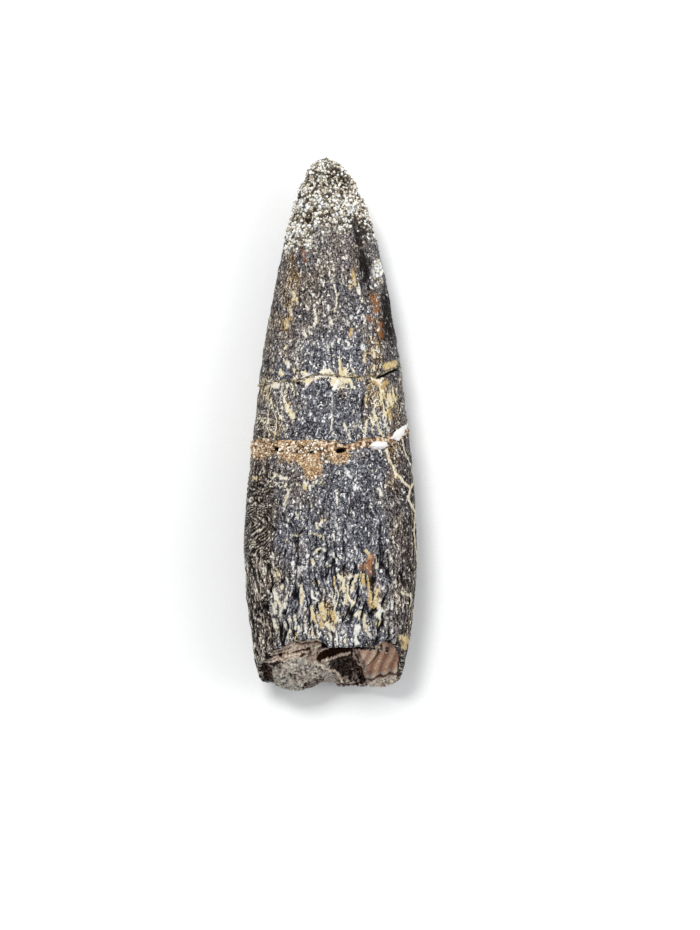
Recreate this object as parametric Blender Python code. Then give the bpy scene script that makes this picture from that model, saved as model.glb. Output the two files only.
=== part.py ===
"""Fossil diplodocid tooth, one solid, lying on its tongue side with its lip side up.

The tip points along +Y, +Z is up and the origin is the middle of the footprint on the surface it rests on.
Sizes are in millimetres, and a station is a distance along the crown from its tip.
"""

import math

import bmesh
import bpy
from mathutils import Vector, noise

MM = 0.001
NAME = "tooth"

# Crown
LENGTH = 30.0
HALF_WIDTH = 4.8
DEPTH = 7.6
WIDEST_AT = 21.7
TIP_ROUNDING = 1.38  # 1 would be a parabola, 2 an ellipse
ROOT_TAPER = 0.0148  # half width lost per square millimetre past the widest station
LIP_SHARE = 0.54  # share of the depth above the widest line
ROUNDNESS = 2.2  # exponent of the section's superellipse
TIP_LEAN = -0.42  # the worn tip stands a little to the left
TIP_LEAN_LENGTH = 1.7
CROWN_OFFSET = -0.06

# Resting side: straight where it touches, rising to the tip and a little to the broken end
REST_FROM = 12.0
REST_TO = 24.0
TIP_LIFT = 2.6
BASE_LIFT = 0.5
FLAT_CUT = 0.16  # taken off the belly to leave the flat resting spot

# Broken end: it leaves the lip edge square and runs out to the tongue edge, so it shows from above
LIP_EDGE_AT = 27.4
BREAK_REACH = 2.1
BREAK_SHOULDER = 0.3
THINNEST_HALF = 0.7  # of the broken face, where its lip and tongue edges meet at the sides
DOME = {"x": -2.0, "z": 1.8, "station": LENGTH - 0.08, "across": 0.216, "up": 0.176}
SCOOP = {"x": 2.3, "z": 3.9, "depth": 0.7, "radius": 1.25}
BLACK_FACET = {"x": 0.6, "z": 3.4, "depth": 0.5, "radius": 0.7}

# Fractures right across the crown, once broken and filled again
UPPER_FRACTURE = 12.33
UPPER_WAVE = 0.3
UPPER_WAVE_LENGTH = 4.1
UPPER_WAVE_SHIFT = 0.55
LOWER_FRACTURE = 16.0
LOWER_RISE = 0.13  # bend of the lower fracture towards the tip, right of LOWER_RISE_FROM
LOWER_RISE_FROM = 1.5
FRACTURE_WIDTH = 0.26
UPPER_FRACTURE_DEPTH = 0.1
LOWER_FRACTURE_DEPTH = 0.22
FRACTURE_PATCH = 1.4  # size of the stretches where the fill stands higher or lower
FRACTURE_EVEN = 0.6  # share of a fracture's depth that is the same all round
FRACTURE_UNEVEN = 1.3
MIDDLE_STEP = 0.05  # the piece between the fractures sits this much lower
STEP_HALF_WIDTH = 0.1

# Relief of the enamel
WRINKLE_ACROSS = 0.6
WRINKLE_ALONG = 5.0
WRINKLE_HEIGHT = 0.26
WRINKLE_FROM = 3.0  # the wrinkles grow from here to WRINKLE_FULL
WRINKLE_FULL = 24.0
LUMP_SIZE = 0.85
LUMP_HEIGHT = 0.3
LUMP_START = 9.62  # where in the noise the worn tip's lumps are read
WORN_FROM = 0.5
WORN_TO = 4.5
BREAK_GRAIN = 0.7
BREAK_GRAIN_LAYER = 3.7
BREAK_ROUGHNESS = 0.16
BREAK_SMOOTH_RIM = 0.15  # share of the way to the middle over which the roughness starts
SIDE_GROOVE_STATIONS = (2.4, 3.9, 6.0, 9.0)  # starts, full, still full, ends
SIDE_GROOVE_ANGLE = 50.0  # degrees up from +X
SIDE_GROOVE_HALF_ANGLE = 9.0
SIDE_GROOVE_DEPTH = 0.28

# White mineral lumps on the lip side: x, station, half length, half width, height
MINERAL_LUMPS = (
    (2.5, 16.05, 0.5, 0.3, 0.14),
    (3.75, 15.25, 0.4, 0.4, 0.16),
)

# Holes and hollows on the lip side: x, station, half width, half length, depth, turn in degrees
PITS = (
    (0.45, 16.3, 0.3, 0.18, 0.5, 0.0),
    (-3.2, 16.2, 0.17, 0.13, 0.3, 0.0),
    (3.15, 12.1, 0.6, 0.1, 0.4, 22.0),
    (-1.9, 12.5, 0.18, 0.18, 0.25, 0.0),
    (0.05, 0.8, 0.22, 0.26, 0.25, 0.0),
    (1.62, 4.8, 0.16, 0.75, 0.3, -4.0),
    (3.2, 27.0, 0.18, 0.16, 0.3, 0.0),
)
PULP_HOLLOW = {"x": 0.5, "z": 5.4, "half": (0.6, 0.9, 0.5)}

# Grid
COLUMNS = 64
ROWS = 64
EDGE_ROW = 53  # rows before it are the crown's wall, rows after it the broken face
ROW_STEPS = 600  # of the walk along the crown that sets the rows
CROWDED_ROWS = (  # station, reach, extra density
    (0.0, 2.5, 1.6),
    (UPPER_FRACTURE, 0.7, 2.2),
    (LOWER_FRACTURE, 0.6, 2.2),
)
BENT_ROWS = 1.2  # reach of a fracture's pull on the rows beside it
SLANTED_FROM = 19.0  # the rows turn from square to the broken rim past this station
RIM_REPEATS = 6
THINNEST_RIM = 0.1
SHARP_ANGLE = 40.0
SMALLEST_RADIUS = 0.3

ENAMEL_COLOUR = (0.052, 0.054, 0.066, 1.0)
ENAMEL_ROUGHNESS = 0.38


def ramp(value, start, end):
    """0 before start, 1 after end and smooth between them."""
    share = min(max((value - start) / (end - start), 0.0), 1.0)
    return share * share * (3.0 - 2.0 * share)


def bell(distance, width):
    return math.exp(-((distance / width) ** 2))


def half_width(station):
    """A blunt quarter oval from the tip to the widest station, then a slight taper to the broken end."""
    if station < WIDEST_AT:
        share = 1.0 - max(station, 0.0) / WIDEST_AT
        return HALF_WIDTH * math.sqrt(1.0 - share**TIP_ROUNDING)
    return HALF_WIDTH - ROOT_TAPER * (station - WIDEST_AT) ** 2


def belly_height(station):
    """Height of the tongue side's lowest line, before the flat spot is cut."""
    height = -FLAT_CUT
    if station < REST_FROM:
        height += (TIP_LIFT + FLAT_CUT) * (1.0 - station / REST_FROM) ** 2
    elif station > REST_TO:
        height += (BASE_LIFT + FLAT_CUT) * ((station - REST_TO) / (LENGTH - REST_TO)) ** 2
    return height


def middle(station):
    """x and z of the widest line's centre."""
    depth = DEPTH * half_width(station) / HALF_WIDTH
    x = CROWN_OFFSET + TIP_LEAN * math.exp(-station / TIP_LEAN_LENGTH)
    return x, belly_height(station) + (1.0 - LIP_SHARE) * depth


def section(station, angle, growth=0.0):
    """x and z on the section: a superellipse, deeper on the lip side, its radius changed by growth."""
    centre_x, centre_z = middle(station)
    width = half_width(station)
    depth = DEPTH * width / HALF_WIDTH
    side, up = math.cos(angle), math.sin(angle)
    share = LIP_SHARE if up > 0 else 1.0 - LIP_SHARE
    x = width * math.copysign(abs(side) ** (2.0 / ROUNDNESS), side)
    z = depth * share * math.copysign(abs(up) ** (2.0 / ROUNDNESS), up)
    stretch = 1.0 + growth / max(math.hypot(x, z), SMALLEST_RADIUS)
    return centre_x + x * stretch, centre_z + z * stretch


def side_height(x, station, share):
    """Height at x of the lip side, for LIP_SHARE, or of the tongue side, for LIP_SHARE - 1."""
    centre_x, centre_z = middle(station)
    width = half_width(station)
    out = min(abs(x - centre_x) / width, 0.999)
    return centre_z + DEPTH * width / HALF_WIDTH * share * (1.0 - out**ROUNDNESS) ** (1.0 / ROUNDNESS)


def upper_fracture(x):
    return UPPER_FRACTURE - UPPER_WAVE * math.cos(2.0 * math.pi * (x + UPPER_WAVE_SHIFT) / UPPER_WAVE_LENGTH)


def lower_fracture(x):
    """Nearly square across, turning up towards the tip on the right."""
    return LOWER_FRACTURE - LOWER_RISE * max(x - LOWER_RISE_FROM, 0.0) ** 2


def break_station(x, z):
    """Station of the broken face: a slope with two scoops on the right and a rough dome on the left."""
    centre_z = middle(LIP_EDGE_AT)[1]
    high = max(side_height(x, LIP_EDGE_AT, LIP_SHARE) - BREAK_SHOULDER, centre_z + THINNEST_HALF)
    low = min(side_height(x, LIP_EDGE_AT, LIP_SHARE - 1.0) + BREAK_SHOULDER, centre_z - THINNEST_HALF)
    slope = LIP_EDGE_AT + BREAK_REACH * (1.0 - ramp(z, low, high))
    for scoop in (SCOOP, BLACK_FACET):
        slope -= scoop["depth"] * bell(math.hypot(x - scoop["x"], z - scoop["z"]), scoop["radius"])
    dome = DOME["station"] - DOME["across"] * (x - DOME["x"]) ** 2 - DOME["up"] * (z - DOME["z"]) ** 2
    return max(slope, dome)


def rim_station(angle):
    """Station where the crown's wall meets the broken face, found by a few repeats."""
    station = LIP_EDGE_AT
    for _ in range(RIM_REPEATS):
        station = break_station(*section(station, angle))
    return min(station, LENGTH - THINNEST_RIM)


def relief(station, angle):
    """Height of the surface over the smooth section: wrinkles, worn lumps, grooves and mineral lumps."""
    x, z = section(station, angle)
    along = Vector((x / WRINKLE_ACROSS, z / WRINKLE_ACROSS, station / WRINKLE_ALONG))
    height = WRINKLE_HEIGHT * noise.noise(along) * ramp(station, WRINKLE_FROM, WRINKLE_FULL)
    lump = Vector((x / LUMP_SIZE, z / LUMP_SIZE, station / LUMP_SIZE + LUMP_START))
    height += LUMP_HEIGHT * noise.noise(lump) * (1.0 - ramp(station, WORN_FROM, WORN_TO))
    from_upper, from_lower = station - upper_fracture(x), station - lower_fracture(x)
    patch = noise.noise(Vector((x / FRACTURE_PATCH, z / FRACTURE_PATCH, 0.0)))
    open_share = FRACTURE_EVEN + FRACTURE_UNEVEN * patch
    height -= UPPER_FRACTURE_DEPTH * open_share * bell(from_upper, FRACTURE_WIDTH)
    height -= LOWER_FRACTURE_DEPTH * open_share * bell(from_lower, FRACTURE_WIDTH)
    below_upper = ramp(from_upper, -STEP_HALF_WIDTH, STEP_HALF_WIDTH)
    below_lower = ramp(from_lower, -STEP_HALF_WIDTH, STEP_HALF_WIDTH)
    height -= MIDDLE_STEP * below_upper * (1.0 - below_lower)
    starts, full, still_full, ends = SIDE_GROOVE_STATIONS
    groove = bell(math.degrees(angle) - SIDE_GROOVE_ANGLE, SIDE_GROOVE_HALF_ANGLE)
    groove *= ramp(station, starts, full) * (1.0 - ramp(station, still_full, ends))
    height -= SIDE_GROOVE_DEPTH * groove
    if angle > 0:
        for lump_x, at, half_long, half_wide, rise in MINERAL_LUMPS:
            height += rise * bell(math.hypot((x - lump_x) / half_long, (station - at) / half_wide), 1.0)
    return height


def wall_rows():
    """Stations of the wall's rows, closer together at the worn tip and at both fractures."""
    stations = [LIP_EDGE_AT * step / ROW_STEPS for step in range(ROW_STEPS + 1)]
    density = [
        1.0 + sum(extra * bell(station - at, reach) for at, reach, extra in CROWDED_ROWS)
        for station in stations
    ]
    total = sum(density)
    rows, passed = [0.0], 0.0
    for station, share in zip(stations, density):
        passed += share * EDGE_ROW / total
        if passed >= len(rows):
            rows.append(station)
    return rows[:EDGE_ROW] + [LIP_EDGE_AT]


def follow_fractures(station, x):
    """Bends a row onto the path of the fracture beside it."""
    station += (upper_fracture(x) - UPPER_FRACTURE) * bell(station - UPPER_FRACTURE, BENT_ROWS)
    return station + (lower_fracture(x) - LOWER_FRACTURE) * bell(station - LOWER_FRACTURE, BENT_ROWS)


def point(row, angle, rows):
    """Place of one grid point, in metres."""
    rim = rim_station(angle)
    if row <= EDGE_ROW:
        station = rows[row] + (rim - LIP_EDGE_AT) * ramp(rows[row], SLANTED_FROM, LIP_EDGE_AT)
        station = follow_fractures(station, section(station, angle)[0])
        x, z = section(station, angle, relief(station, angle))
    else:
        share = (ROWS - row) / (ROWS - EDGE_ROW)
        centre_x, centre_z = middle(LIP_EDGE_AT)
        edge_x, edge_z = section(rim, angle, relief(rim, angle))
        x = centre_x + (edge_x - centre_x) * share
        z = centre_z + (edge_z - centre_z) * share
        grain = noise.noise(Vector((x / BREAK_GRAIN, z / BREAK_GRAIN, BREAK_GRAIN_LAYER)))
        station = break_station(x, z) + BREAK_ROUGHNESS * grain * ramp(1.0 - share, 0.0, BREAK_SMOOTH_RIM)
    return Vector((x, LENGTH / 2.0 - station, z)) * MM


def new_collection(name):
    collection = bpy.data.collections.new(name)
    bpy.context.scene.collection.children.link(collection)
    return collection


def enamel():
    material = bpy.data.materials.new("fossil enamel")
    material.use_nodes = True
    shader = material.node_tree.nodes["Principled BSDF"]
    shader.inputs["Base Color"].default_value = ENAMEL_COLOUR
    shader.inputs["Roughness"].default_value = ENAMEL_ROUGHNESS
    shader.inputs["Metallic"].default_value = 0.0
    return material


def make_tooth(collection):
    """A closed ball of rows and columns, each point carried to its place on the tooth."""
    mesh = bpy.data.meshes.new(NAME)
    rows = wall_rows()
    shape = bmesh.new()
    bmesh.ops.create_uvsphere(shape, u_segments=COLUMNS, v_segments=ROWS, radius=1.0)
    for vertex in shape.verts:
        row = round(math.acos(max(-1.0, min(1.0, vertex.co.z))) / math.pi * ROWS)
        vertex.co = point(row, math.atan2(vertex.co.y, vertex.co.x), rows)
    bmesh.ops.recalc_face_normals(shape, faces=shape.faces)
    bmesh.ops.triangulate(shape, faces=shape.faces)
    shape.to_mesh(mesh)
    shape.free()
    mesh.materials.append(enamel())
    mesh.shade_smooth()
    mesh.set_sharp_from_angle(angle=math.radians(SHARP_ANGLE))
    tooth = bpy.data.objects.new(NAME, mesh)
    collection.objects.link(tooth)
    return tooth


def make_cutter(name, make_shape, collection):
    mesh = bpy.data.meshes.new(name)
    shape = bmesh.new()
    make_shape(shape)
    shape.to_mesh(mesh)
    shape.free()
    cutter = bpy.data.objects.new(name, mesh)
    cutter.hide_render = True
    cutter.display_type = "WIRE"
    collection.objects.link(cutter)
    return cutter


def make_pit(name, place, half, turn, collection):
    """An egg-shaped hollow of the given half sizes, turned about the vertical."""

    def egg(shape):
        bmesh.ops.create_icosphere(shape, subdivisions=2, radius=1.0)
        bmesh.ops.scale(shape, vec=Vector(half) * MM, verts=shape.verts)

    pit = make_cutter(name, egg, collection)
    pit.location = Vector(place) * MM
    pit.rotation_euler.z = math.radians(turn)
    return pit


def make_surface(collection):
    """A block under the tooth whose top face cuts the resting spot flat."""
    size = 2.0 * LENGTH * MM
    surface = make_cutter("surface", lambda shape: bmesh.ops.create_cube(shape, size=size), collection)
    surface.location.z = -size / 2.0
    return surface


def make_cutters(collection):
    cutters = [make_surface(collection)]
    for number, (x, station, half_x, half_y, depth, turn) in enumerate(PITS):
        place = (x, LENGTH / 2.0 - station, side_height(x, station, LIP_SHARE))
        cutters.append(make_pit(f"pit_{number}", place, (half_x, half_y, depth), turn, collection))
    hollow = PULP_HOLLOW
    place = (hollow["x"], LENGTH / 2.0 - break_station(hollow["x"], hollow["z"]), hollow["z"])
    cutters.append(make_pit("pulp_hollow", place, hollow["half"], 0.0, collection))
    return cutters


def main():
    for thing in list(bpy.data.objects):
        bpy.data.objects.remove(thing)
    tooth = make_tooth(new_collection("fossil_diplodocid_tooth"))
    for cutter in make_cutters(new_collection("cutters")):
        cut = tooth.modifiers.new(cutter.name, "BOOLEAN")
        cut.operation = "DIFFERENCE"
        cut.object = cutter


main()
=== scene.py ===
"""Looks of the fossil diplodocid tooth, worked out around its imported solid.

Lengths are millimetres until a mesh is written, which is in metres. A station is a distance along the crown
from its tip, an angle goes round the crown's section from +X towards +Z, and the lip side is the upper one.
Places on the lip side are also given as pixels of the picture, which the camera looks straight down on.
"""

import itertools
import math

import bpy
import numpy as np
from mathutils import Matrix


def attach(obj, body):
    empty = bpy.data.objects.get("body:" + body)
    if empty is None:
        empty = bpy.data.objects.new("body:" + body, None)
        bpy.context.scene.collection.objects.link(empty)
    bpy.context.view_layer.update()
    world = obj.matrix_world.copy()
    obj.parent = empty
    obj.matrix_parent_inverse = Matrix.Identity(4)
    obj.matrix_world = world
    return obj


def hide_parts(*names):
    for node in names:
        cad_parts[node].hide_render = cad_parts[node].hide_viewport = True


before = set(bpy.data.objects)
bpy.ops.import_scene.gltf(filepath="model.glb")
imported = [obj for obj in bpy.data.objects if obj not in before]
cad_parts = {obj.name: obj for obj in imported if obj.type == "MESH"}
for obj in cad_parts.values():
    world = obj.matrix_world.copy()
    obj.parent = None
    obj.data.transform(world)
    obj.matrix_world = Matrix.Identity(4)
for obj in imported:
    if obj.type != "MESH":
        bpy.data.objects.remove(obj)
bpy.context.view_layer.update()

MM = 0.001
SEED = 11

# Picture's frame
IMAGE = (700, 930)
PIXELS_PER_MM = 17.9
TOOTH_MIDDLE = (332.0, 425.5)
LENS = 120.0
SENSOR = 36.0
FOCUS_HEIGHT = 3.4
CAMERA_RANGE = IMAGE[1] / PIXELS_PER_MM * LENS / SENSOR
CAMERA_X = (IMAGE[0] / 2.0 - TOOTH_MIDDLE[0]) / PIXELS_PER_MM
CAMERA_Y = (TOOTH_MIDDLE[1] - IMAGE[1] / 2.0) / PIXELS_PER_MM

# Crown, as the solid has it
LENGTH = 30.0
HALF_WIDTH = 4.8
DEPTH = 7.6
WIDEST_AT = 21.7
TIP_ROUNDING = 1.38
ROOT_TAPER = 0.0148
LIP_SHARE = 0.54
ROUNDNESS = 2.2
TIP_LEAN = -0.42
TIP_LEAN_LENGTH = 1.7
CROWN_OFFSET = -0.06
REST_FROM = 12.0
REST_TO = 24.0
TIP_LIFT = 2.6
BASE_LIFT = 0.5
FLAT_CUT = 0.16
MIDDLE_STEP = 0.05
SIDE_GROOVE_STATIONS = (2.4, 3.9, 6.0, 9.0)
SIDE_GROOVE_ANGLE = 50.0
SIDE_GROOVE_HALF_ANGLE = 9.0
SIDE_GROOVE_DEPTH = 0.28
LIP_EDGE_AT = 27.4
BREAK_REACH = 2.1
BREAK_SHOULDER = 0.3
THINNEST_HALF = 0.7
DOME = {"x": -2.0, "z": 1.8, "station": LENGTH - 0.12, "across": 0.216, "up": 0.176}
SCOOP = {"x": 2.3, "z": 3.9, "depth": 0.7, "radius": 1.25}
BLACK_FACET = {"x": 0.6, "z": 3.4, "depth": 0.5, "radius": 0.7}
UPPER_BREAK_AT = 12.3
LOWER_TOP_AT = 16.0
LOWER_FOOT_AT = 16.2
BREAK_GAP = 0.03
RING_AT = 18.0  # station at which the way round the section is measured

# Breaks in the crown and the enamel's lower edge, as lines of pixels on the lip side
UPPER_BREAK = [
    (250, 386), (262, 384), (280, 381), (298, 381), (306, 377), (318, 374), (330, 375), (344, 376),
    (358, 377), (371, 376), (380, 377), (390, 373), (398, 370), (410, 366),
]
LOWER_BREAK_TOP = [
    (240, 441), (250, 441), (264, 439), (272, 442), (285, 444), (300, 446), (314, 442), (322, 441),
    (335, 443), (345, 446), (352, 443), (362, 439), (372, 438), (388, 438), (394, 434), (400, 431),
    (415, 424),
]
LOWER_BREAK_FOOT = [
    (240, 449), (262, 450), (278, 452), (290, 453), (303, 455), (315, 453), (326, 452), (334, 454),
    (342, 453), (348, 451), (356, 448), (366, 446), (375, 449), (386, 449), (392, 444), (399, 439),
    (415, 432),
]
LIP_EDGE = [
    (246, 676), (256, 667), (262, 660), (270, 651), (280, 647), (288, 642), (300, 640), (317, 638),
    (322, 642), (328, 647), (345, 647), (366, 646), (377, 646), (384, 641), (387, 637), (392, 640),
    (399, 648), (403, 657), (410, 666), (420, 672),
]

# Enamel's grain in mm, a wrinkle and a bead being 0.3 mm wide as on the real one
WRINKLES_ROUND = 84
WRINKLE_LENGTH = 1.9
FURROW_LENGTH = 2.3
FINE_LENGTH = 0.5
BEADS_A_WRINKLE = 1.9
UPPER_BEAD_LENGTH = 0.20
LOWER_BEAD_LENGTH = 0.34
BEAD_HEIGHT = 0.034
SPECK_WIDTH = 0.12
SPECK_LENGTH = 0.15
SPECK_HEIGHT = 0.02
WHORL_PERIOD = 0.20
WHORL_HEIGHT = 0.035
PATCH_SIZE = 1.6
NUGGET_SIZE = 0.15
CRUST_ENDS = (3.8, 5.0)
RIM_CHIPS = 0.07
GRAIN_LIGHT = 0.675
CREAM = 0.4
WAY_REACH = 0.4  # a mark's way is kept up to this far from its edge
CRACK_SPREAD = 1.15
OCHRE_STRETCH = 2.2
CRYSTALS_PER_MM = (12.0, 8.0, 12.0)
CRYSTAL_SWAY = (3.0, 3.0, 3.0)
ENAMEL_MASKS = (
    "grain", "painted_valley_shade", "matrix", "tone", "fleck_way", "fleck_tone", "fill_way", "stain_way", "hole_shade_way",
    "dust", "brown", "groove", "crust", "crust_light", "seam", "ochre",
)

# Broken face, fills and ends of the pieces
FLUTE_PIXELS = 9.5
LAMINA_PIXELS = 3.4
DENTINE_SHARE = 0.95
DENTINE_DEPTH = 1.5
TIP_START = 0.02
TIP_CROWDING = 1.25
CAP_SHARES = (0.05, 0.07, 0.4, 0.7)
CORE_HEIGHT = 3.4
FILL_HOLES = [(341, 450, 6.0, 3.2), (274, 449, 4.0, 3.0)]  # pixels and half sizes in pixels
LENS_OUTLINE = [(369, 446), (373, 442), (380, 440), (387, 442), (388, 447), (382, 450), (374, 450)]
WEDGE_OUTLINE = [(390, 439), (396, 430), (408, 423), (406, 433), (399, 441)]
FLOOR_REACH = 0.6

# Noise, and places found by turns
NOISE_LAYER_STEP = 37.0
GRAIN_LAYER_STEP = 53.0
NOISE_GAIN = 1.6
GRAIN_REACH = 0.8
GRAIN_SEAM = (0.02, 0.25)
FAR = 9.0
ROUNDS = 8
FIRST_HEIGHT = 6.5


def ramp(value, start, end):
    """0 before start, 1 after end and smooth between them."""
    share = np.clip((value - start) / (end - start), 0.0, 1.0)
    return share * share * (3.0 - 2.0 * share)


def bell(distance, width):
    """1 at no distance and a bell's fall from there: e to minus the square of distance over width."""
    return np.exp(-((distance / width) ** 2))


def blend(first, second, share):
    """The first value where share is 0, the second where it is 1, and their mix between."""
    return first + (second - first) * share


rng = np.random.default_rng(SEED)
ORDER = rng.permutation(256).astype(np.int32)
SLOPES = rng.normal(size=(256, 3)).astype(np.float32)
SLOPES /= np.linalg.norm(SLOPES, axis=1, keepdims=True)
SEEDS = rng.random((256, 4)).astype(np.float32)


def lattice(cells, corner):
    """A repeatable number from 0 to 255 for each lattice corner."""
    index = ORDER[(cells[0] + corner[0]) & 255]
    index = ORDER[(index + cells[1] + corner[1]) & 255]
    return ORDER[(index + cells[2] + corner[2]) & 255]


def noise(x, y, z, layer=0):
    """Gradient noise from about -1 to 1: each lattice corner's slope times the way to it, faded
    smoothly."""
    axes = [np.asarray(a, np.float32) for a in np.broadcast_arrays(x, y, z + NOISE_LAYER_STEP * layer)]
    cells = [np.floor(a) for a in axes]
    ways = [a - c for a, c in zip(axes, cells)]
    cells = [c.astype(np.int32) for c in cells]
    fades = [w * w * w * (w * (w * 6.0 - 15.0) + 10.0) for w in ways]
    total = np.zeros_like(ways[0])
    for corner in itertools.product((0, 1), repeat=3):
        slope = SLOPES[lattice(cells, corner)]
        reach = sum(slope[..., k] * (ways[k] - corner[k]) for k in range(3))
        share = 1.0
        for k in range(3):
            share = share * (fades[k] if corner[k] else 1.0 - fades[k])
        total += share * reach
    return total * NOISE_GAIN


def rough(x, y, z, size, octaves=3, layer=0):
    """Noise of one size in mm, with finer layers each half as large and half as strong."""
    total, strength = 0.0, 1.0
    for octave in range(octaves):
        total = total + strength * noise(x / size, y / size, z / size, layer + octave)
        size, strength = size / 2.0, strength / 2.0
    return total


def grains(x, y, z, layer=0):
    """Packed grains, one in each lattice cell: a rounded top from 0 to 1, which falls with the square of
    the way to the nearest grain's middle; a seam, 1 where the two nearest are equally far; a value of its
    own."""
    axes = [np.asarray(a, np.float32) for a in np.broadcast_arrays(x, y, z + GRAIN_LAYER_STEP * layer)]
    cells = [np.floor(a).astype(np.int32) for a in axes]
    first = np.full_like(axes[0], FAR)
    second = np.full_like(axes[0], FAR)
    own = np.zeros_like(axes[0])
    for corner in itertools.product((-1, 0, 1), repeat=3):
        seed = SEEDS[lattice(cells, corner)]
        away = np.sqrt(sum((cells[k] + corner[k] + seed[..., k] - axes[k]) ** 2 for k in range(3)))
        closer = away < first
        second = np.where(closer, first, np.minimum(second, away))
        first = np.where(closer, away, first)
        own = np.where(closer, seed[..., 3], own)
    top = 1.0 - np.minimum(first / GRAIN_REACH, 1.0) ** 2
    return top, 1.0 - ramp(second - first, *GRAIN_SEAM), own


def way_to_path(x, y, path):
    """Distance from each point to a path of straight runs in the same units."""
    if len(path) == 1:
        return np.hypot(x - path[0][0], y - path[0][1])
    nearest = np.full(np.broadcast(x, y).shape, np.inf)
    for (ax, ay), (bx, by) in zip(path, path[1:]):
        run = (bx - ax) ** 2 + (by - ay) ** 2
        share = np.clip(((x - ax) * (bx - ax) + (y - ay) * (by - ay)) / run, 0.0, 1.0)
        nearest = np.minimum(nearest, np.hypot(x - ax - share * (bx - ax), y - ay - share * (by - ay)))
    return nearest


def way_to_outline(x, y, corners):
    """Distance from each point to a closed outline, below 0 inside it."""
    inside = np.zeros(np.shape(x), bool)
    for (ax, ay), (bx, by) in zip(corners, corners[1:] + corners[:1]):
        if ay != by:
            inside ^= ((ay > y) != (by > y)) & (x < ax + (bx - ax) * (y - ay) / (by - ay))
    way = way_to_path(x, y, corners + corners[:1])
    return np.where(inside, -way, way)


def half_width(station):
    """A blunt quarter oval from the tip to the widest station, then a slight taper to the broken end."""
    share = 1.0 - np.clip(station, 0.0, WIDEST_AT) / WIDEST_AT
    oval = HALF_WIDTH * np.sqrt(np.maximum(1.0 - share**TIP_ROUNDING, 0.0))
    return oval - ROOT_TAPER * np.maximum(station - WIDEST_AT, 0.0) ** 2


def belly_height(station):
    """Lowest line of the tongue side: straight in the middle, rising as a square to the tip and the
    end."""
    to_tip = np.maximum(1.0 - station / REST_FROM, 0.0)
    to_end = np.maximum(station - REST_TO, 0.0) / (LENGTH - REST_TO)
    return -FLAT_CUT + (TIP_LIFT + FLAT_CUT) * to_tip**2 + (BASE_LIFT + FLAT_CUT) * to_end**2


def middle(station):
    """x and z of the section's widest line: x leans to the left towards the tip, and z is the belly's
    height plus the tongue side's share of the depth there."""
    depth = DEPTH * half_width(station) / HALF_WIDTH
    x = CROWN_OFFSET + TIP_LEAN * np.exp(-station / TIP_LEAN_LENGTH)
    return x, belly_height(station) + (1.0 - LIP_SHARE) * depth


def section(station, angle):
    """x and z on the crown's section, a superellipse that is deeper on the lip side."""
    centre_x, centre_z = middle(station)
    width = half_width(station)
    side, up = np.cos(angle), np.sin(angle)
    share = np.where(up > 0, LIP_SHARE, 1.0 - LIP_SHARE)
    x = width * np.sign(side) * np.abs(side) ** (2.0 / ROUNDNESS)
    z = DEPTH * width / HALF_WIDTH * share * np.sign(up) * np.abs(up) ** (2.0 / ROUNDNESS)
    return centre_x + x, centre_z + z


def side_height(x, station, share):
    """z of the superellipse over x: share of the depth above its widest line, or below it for a share
    under 0."""
    centre_x, centre_z = middle(station)
    width = half_width(station)
    out = np.clip(np.abs(x - centre_x) / width, 0.0, 0.999)
    return centre_z + DEPTH * width / HALF_WIDTH * share * (1.0 - out**ROUNDNESS) ** (1.0 / ROUNDNESS)


def pixels_at(x, station, z):
    """Picture pixels at which the camera sees a point."""
    nearer = CAMERA_RANGE / (CAMERA_RANGE + FOCUS_HEIGHT - z)
    across = IMAGE[0] / 2.0 + (x - CAMERA_X) * PIXELS_PER_MM * nearer
    return across, IMAGE[1] / 2.0 - (LENGTH / 2.0 - station - CAMERA_Y) * PIXELS_PER_MM * nearer


def on_lip_side(path):
    """x and station of each pixel of a line, on the lip side's surface below it: its height is guessed,
    then found by turns with the place that the camera sees at that height."""
    across, down = np.array(path, float).T
    z = np.full_like(across, FIRST_HEIGHT)
    for _ in range(ROUNDS):
        nearer = CAMERA_RANGE / (CAMERA_RANGE + FOCUS_HEIGHT - z)
        x = CAMERA_X + (across - IMAGE[0] / 2.0) / (PIXELS_PER_MM * nearer)
        station = LENGTH / 2.0 - CAMERA_Y + (down - IMAGE[1] / 2.0) / (PIXELS_PER_MM * nearer)
        z = side_height(x, station, LIP_SHARE)
    return x, station


UPPER_BREAK_LINE = on_lip_side(UPPER_BREAK)
LOWER_TOP_LINE = on_lip_side(LOWER_BREAK_TOP)
LOWER_FOOT_LINE = on_lip_side(LOWER_BREAK_FOOT)
LIP_EDGE_LINE = on_lip_side(LIP_EDGE)


def along_line(line, x):
    """Station of a line at x, straight between its points."""
    return np.interp(x, line[0], line[1])


def break_station(x, z):
    """Station of the broken face: a slope from the lip side's enamel edge down to the tongue side, less
    two scoops on the right, or a dome on the left where that reaches further."""
    centre_z = middle(LIP_EDGE_AT)[1]
    high = side_height(x, LIP_EDGE_AT, LIP_SHARE) - BREAK_SHOULDER
    high = np.maximum(high, centre_z + THINNEST_HALF)
    low = side_height(x, LIP_EDGE_AT, LIP_SHARE - 1.0) + BREAK_SHOULDER
    low = np.minimum(low, centre_z - THINNEST_HALF)
    slope = blend(along_line(LIP_EDGE_LINE, x), LIP_EDGE_AT + BREAK_REACH, 1.0 - ramp(z, low, high))
    for scoop in (SCOOP, BLACK_FACET):
        slope = slope - scoop["depth"] * bell(np.hypot(x - scoop["x"], z - scoop["z"]), scoop["radius"])
    dome = DOME["station"] - DOME["across"] * (x - DOME["x"]) ** 2 - DOME["up"] * (z - DOME["z"]) ** 2
    return np.maximum(slope, dome)


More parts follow.
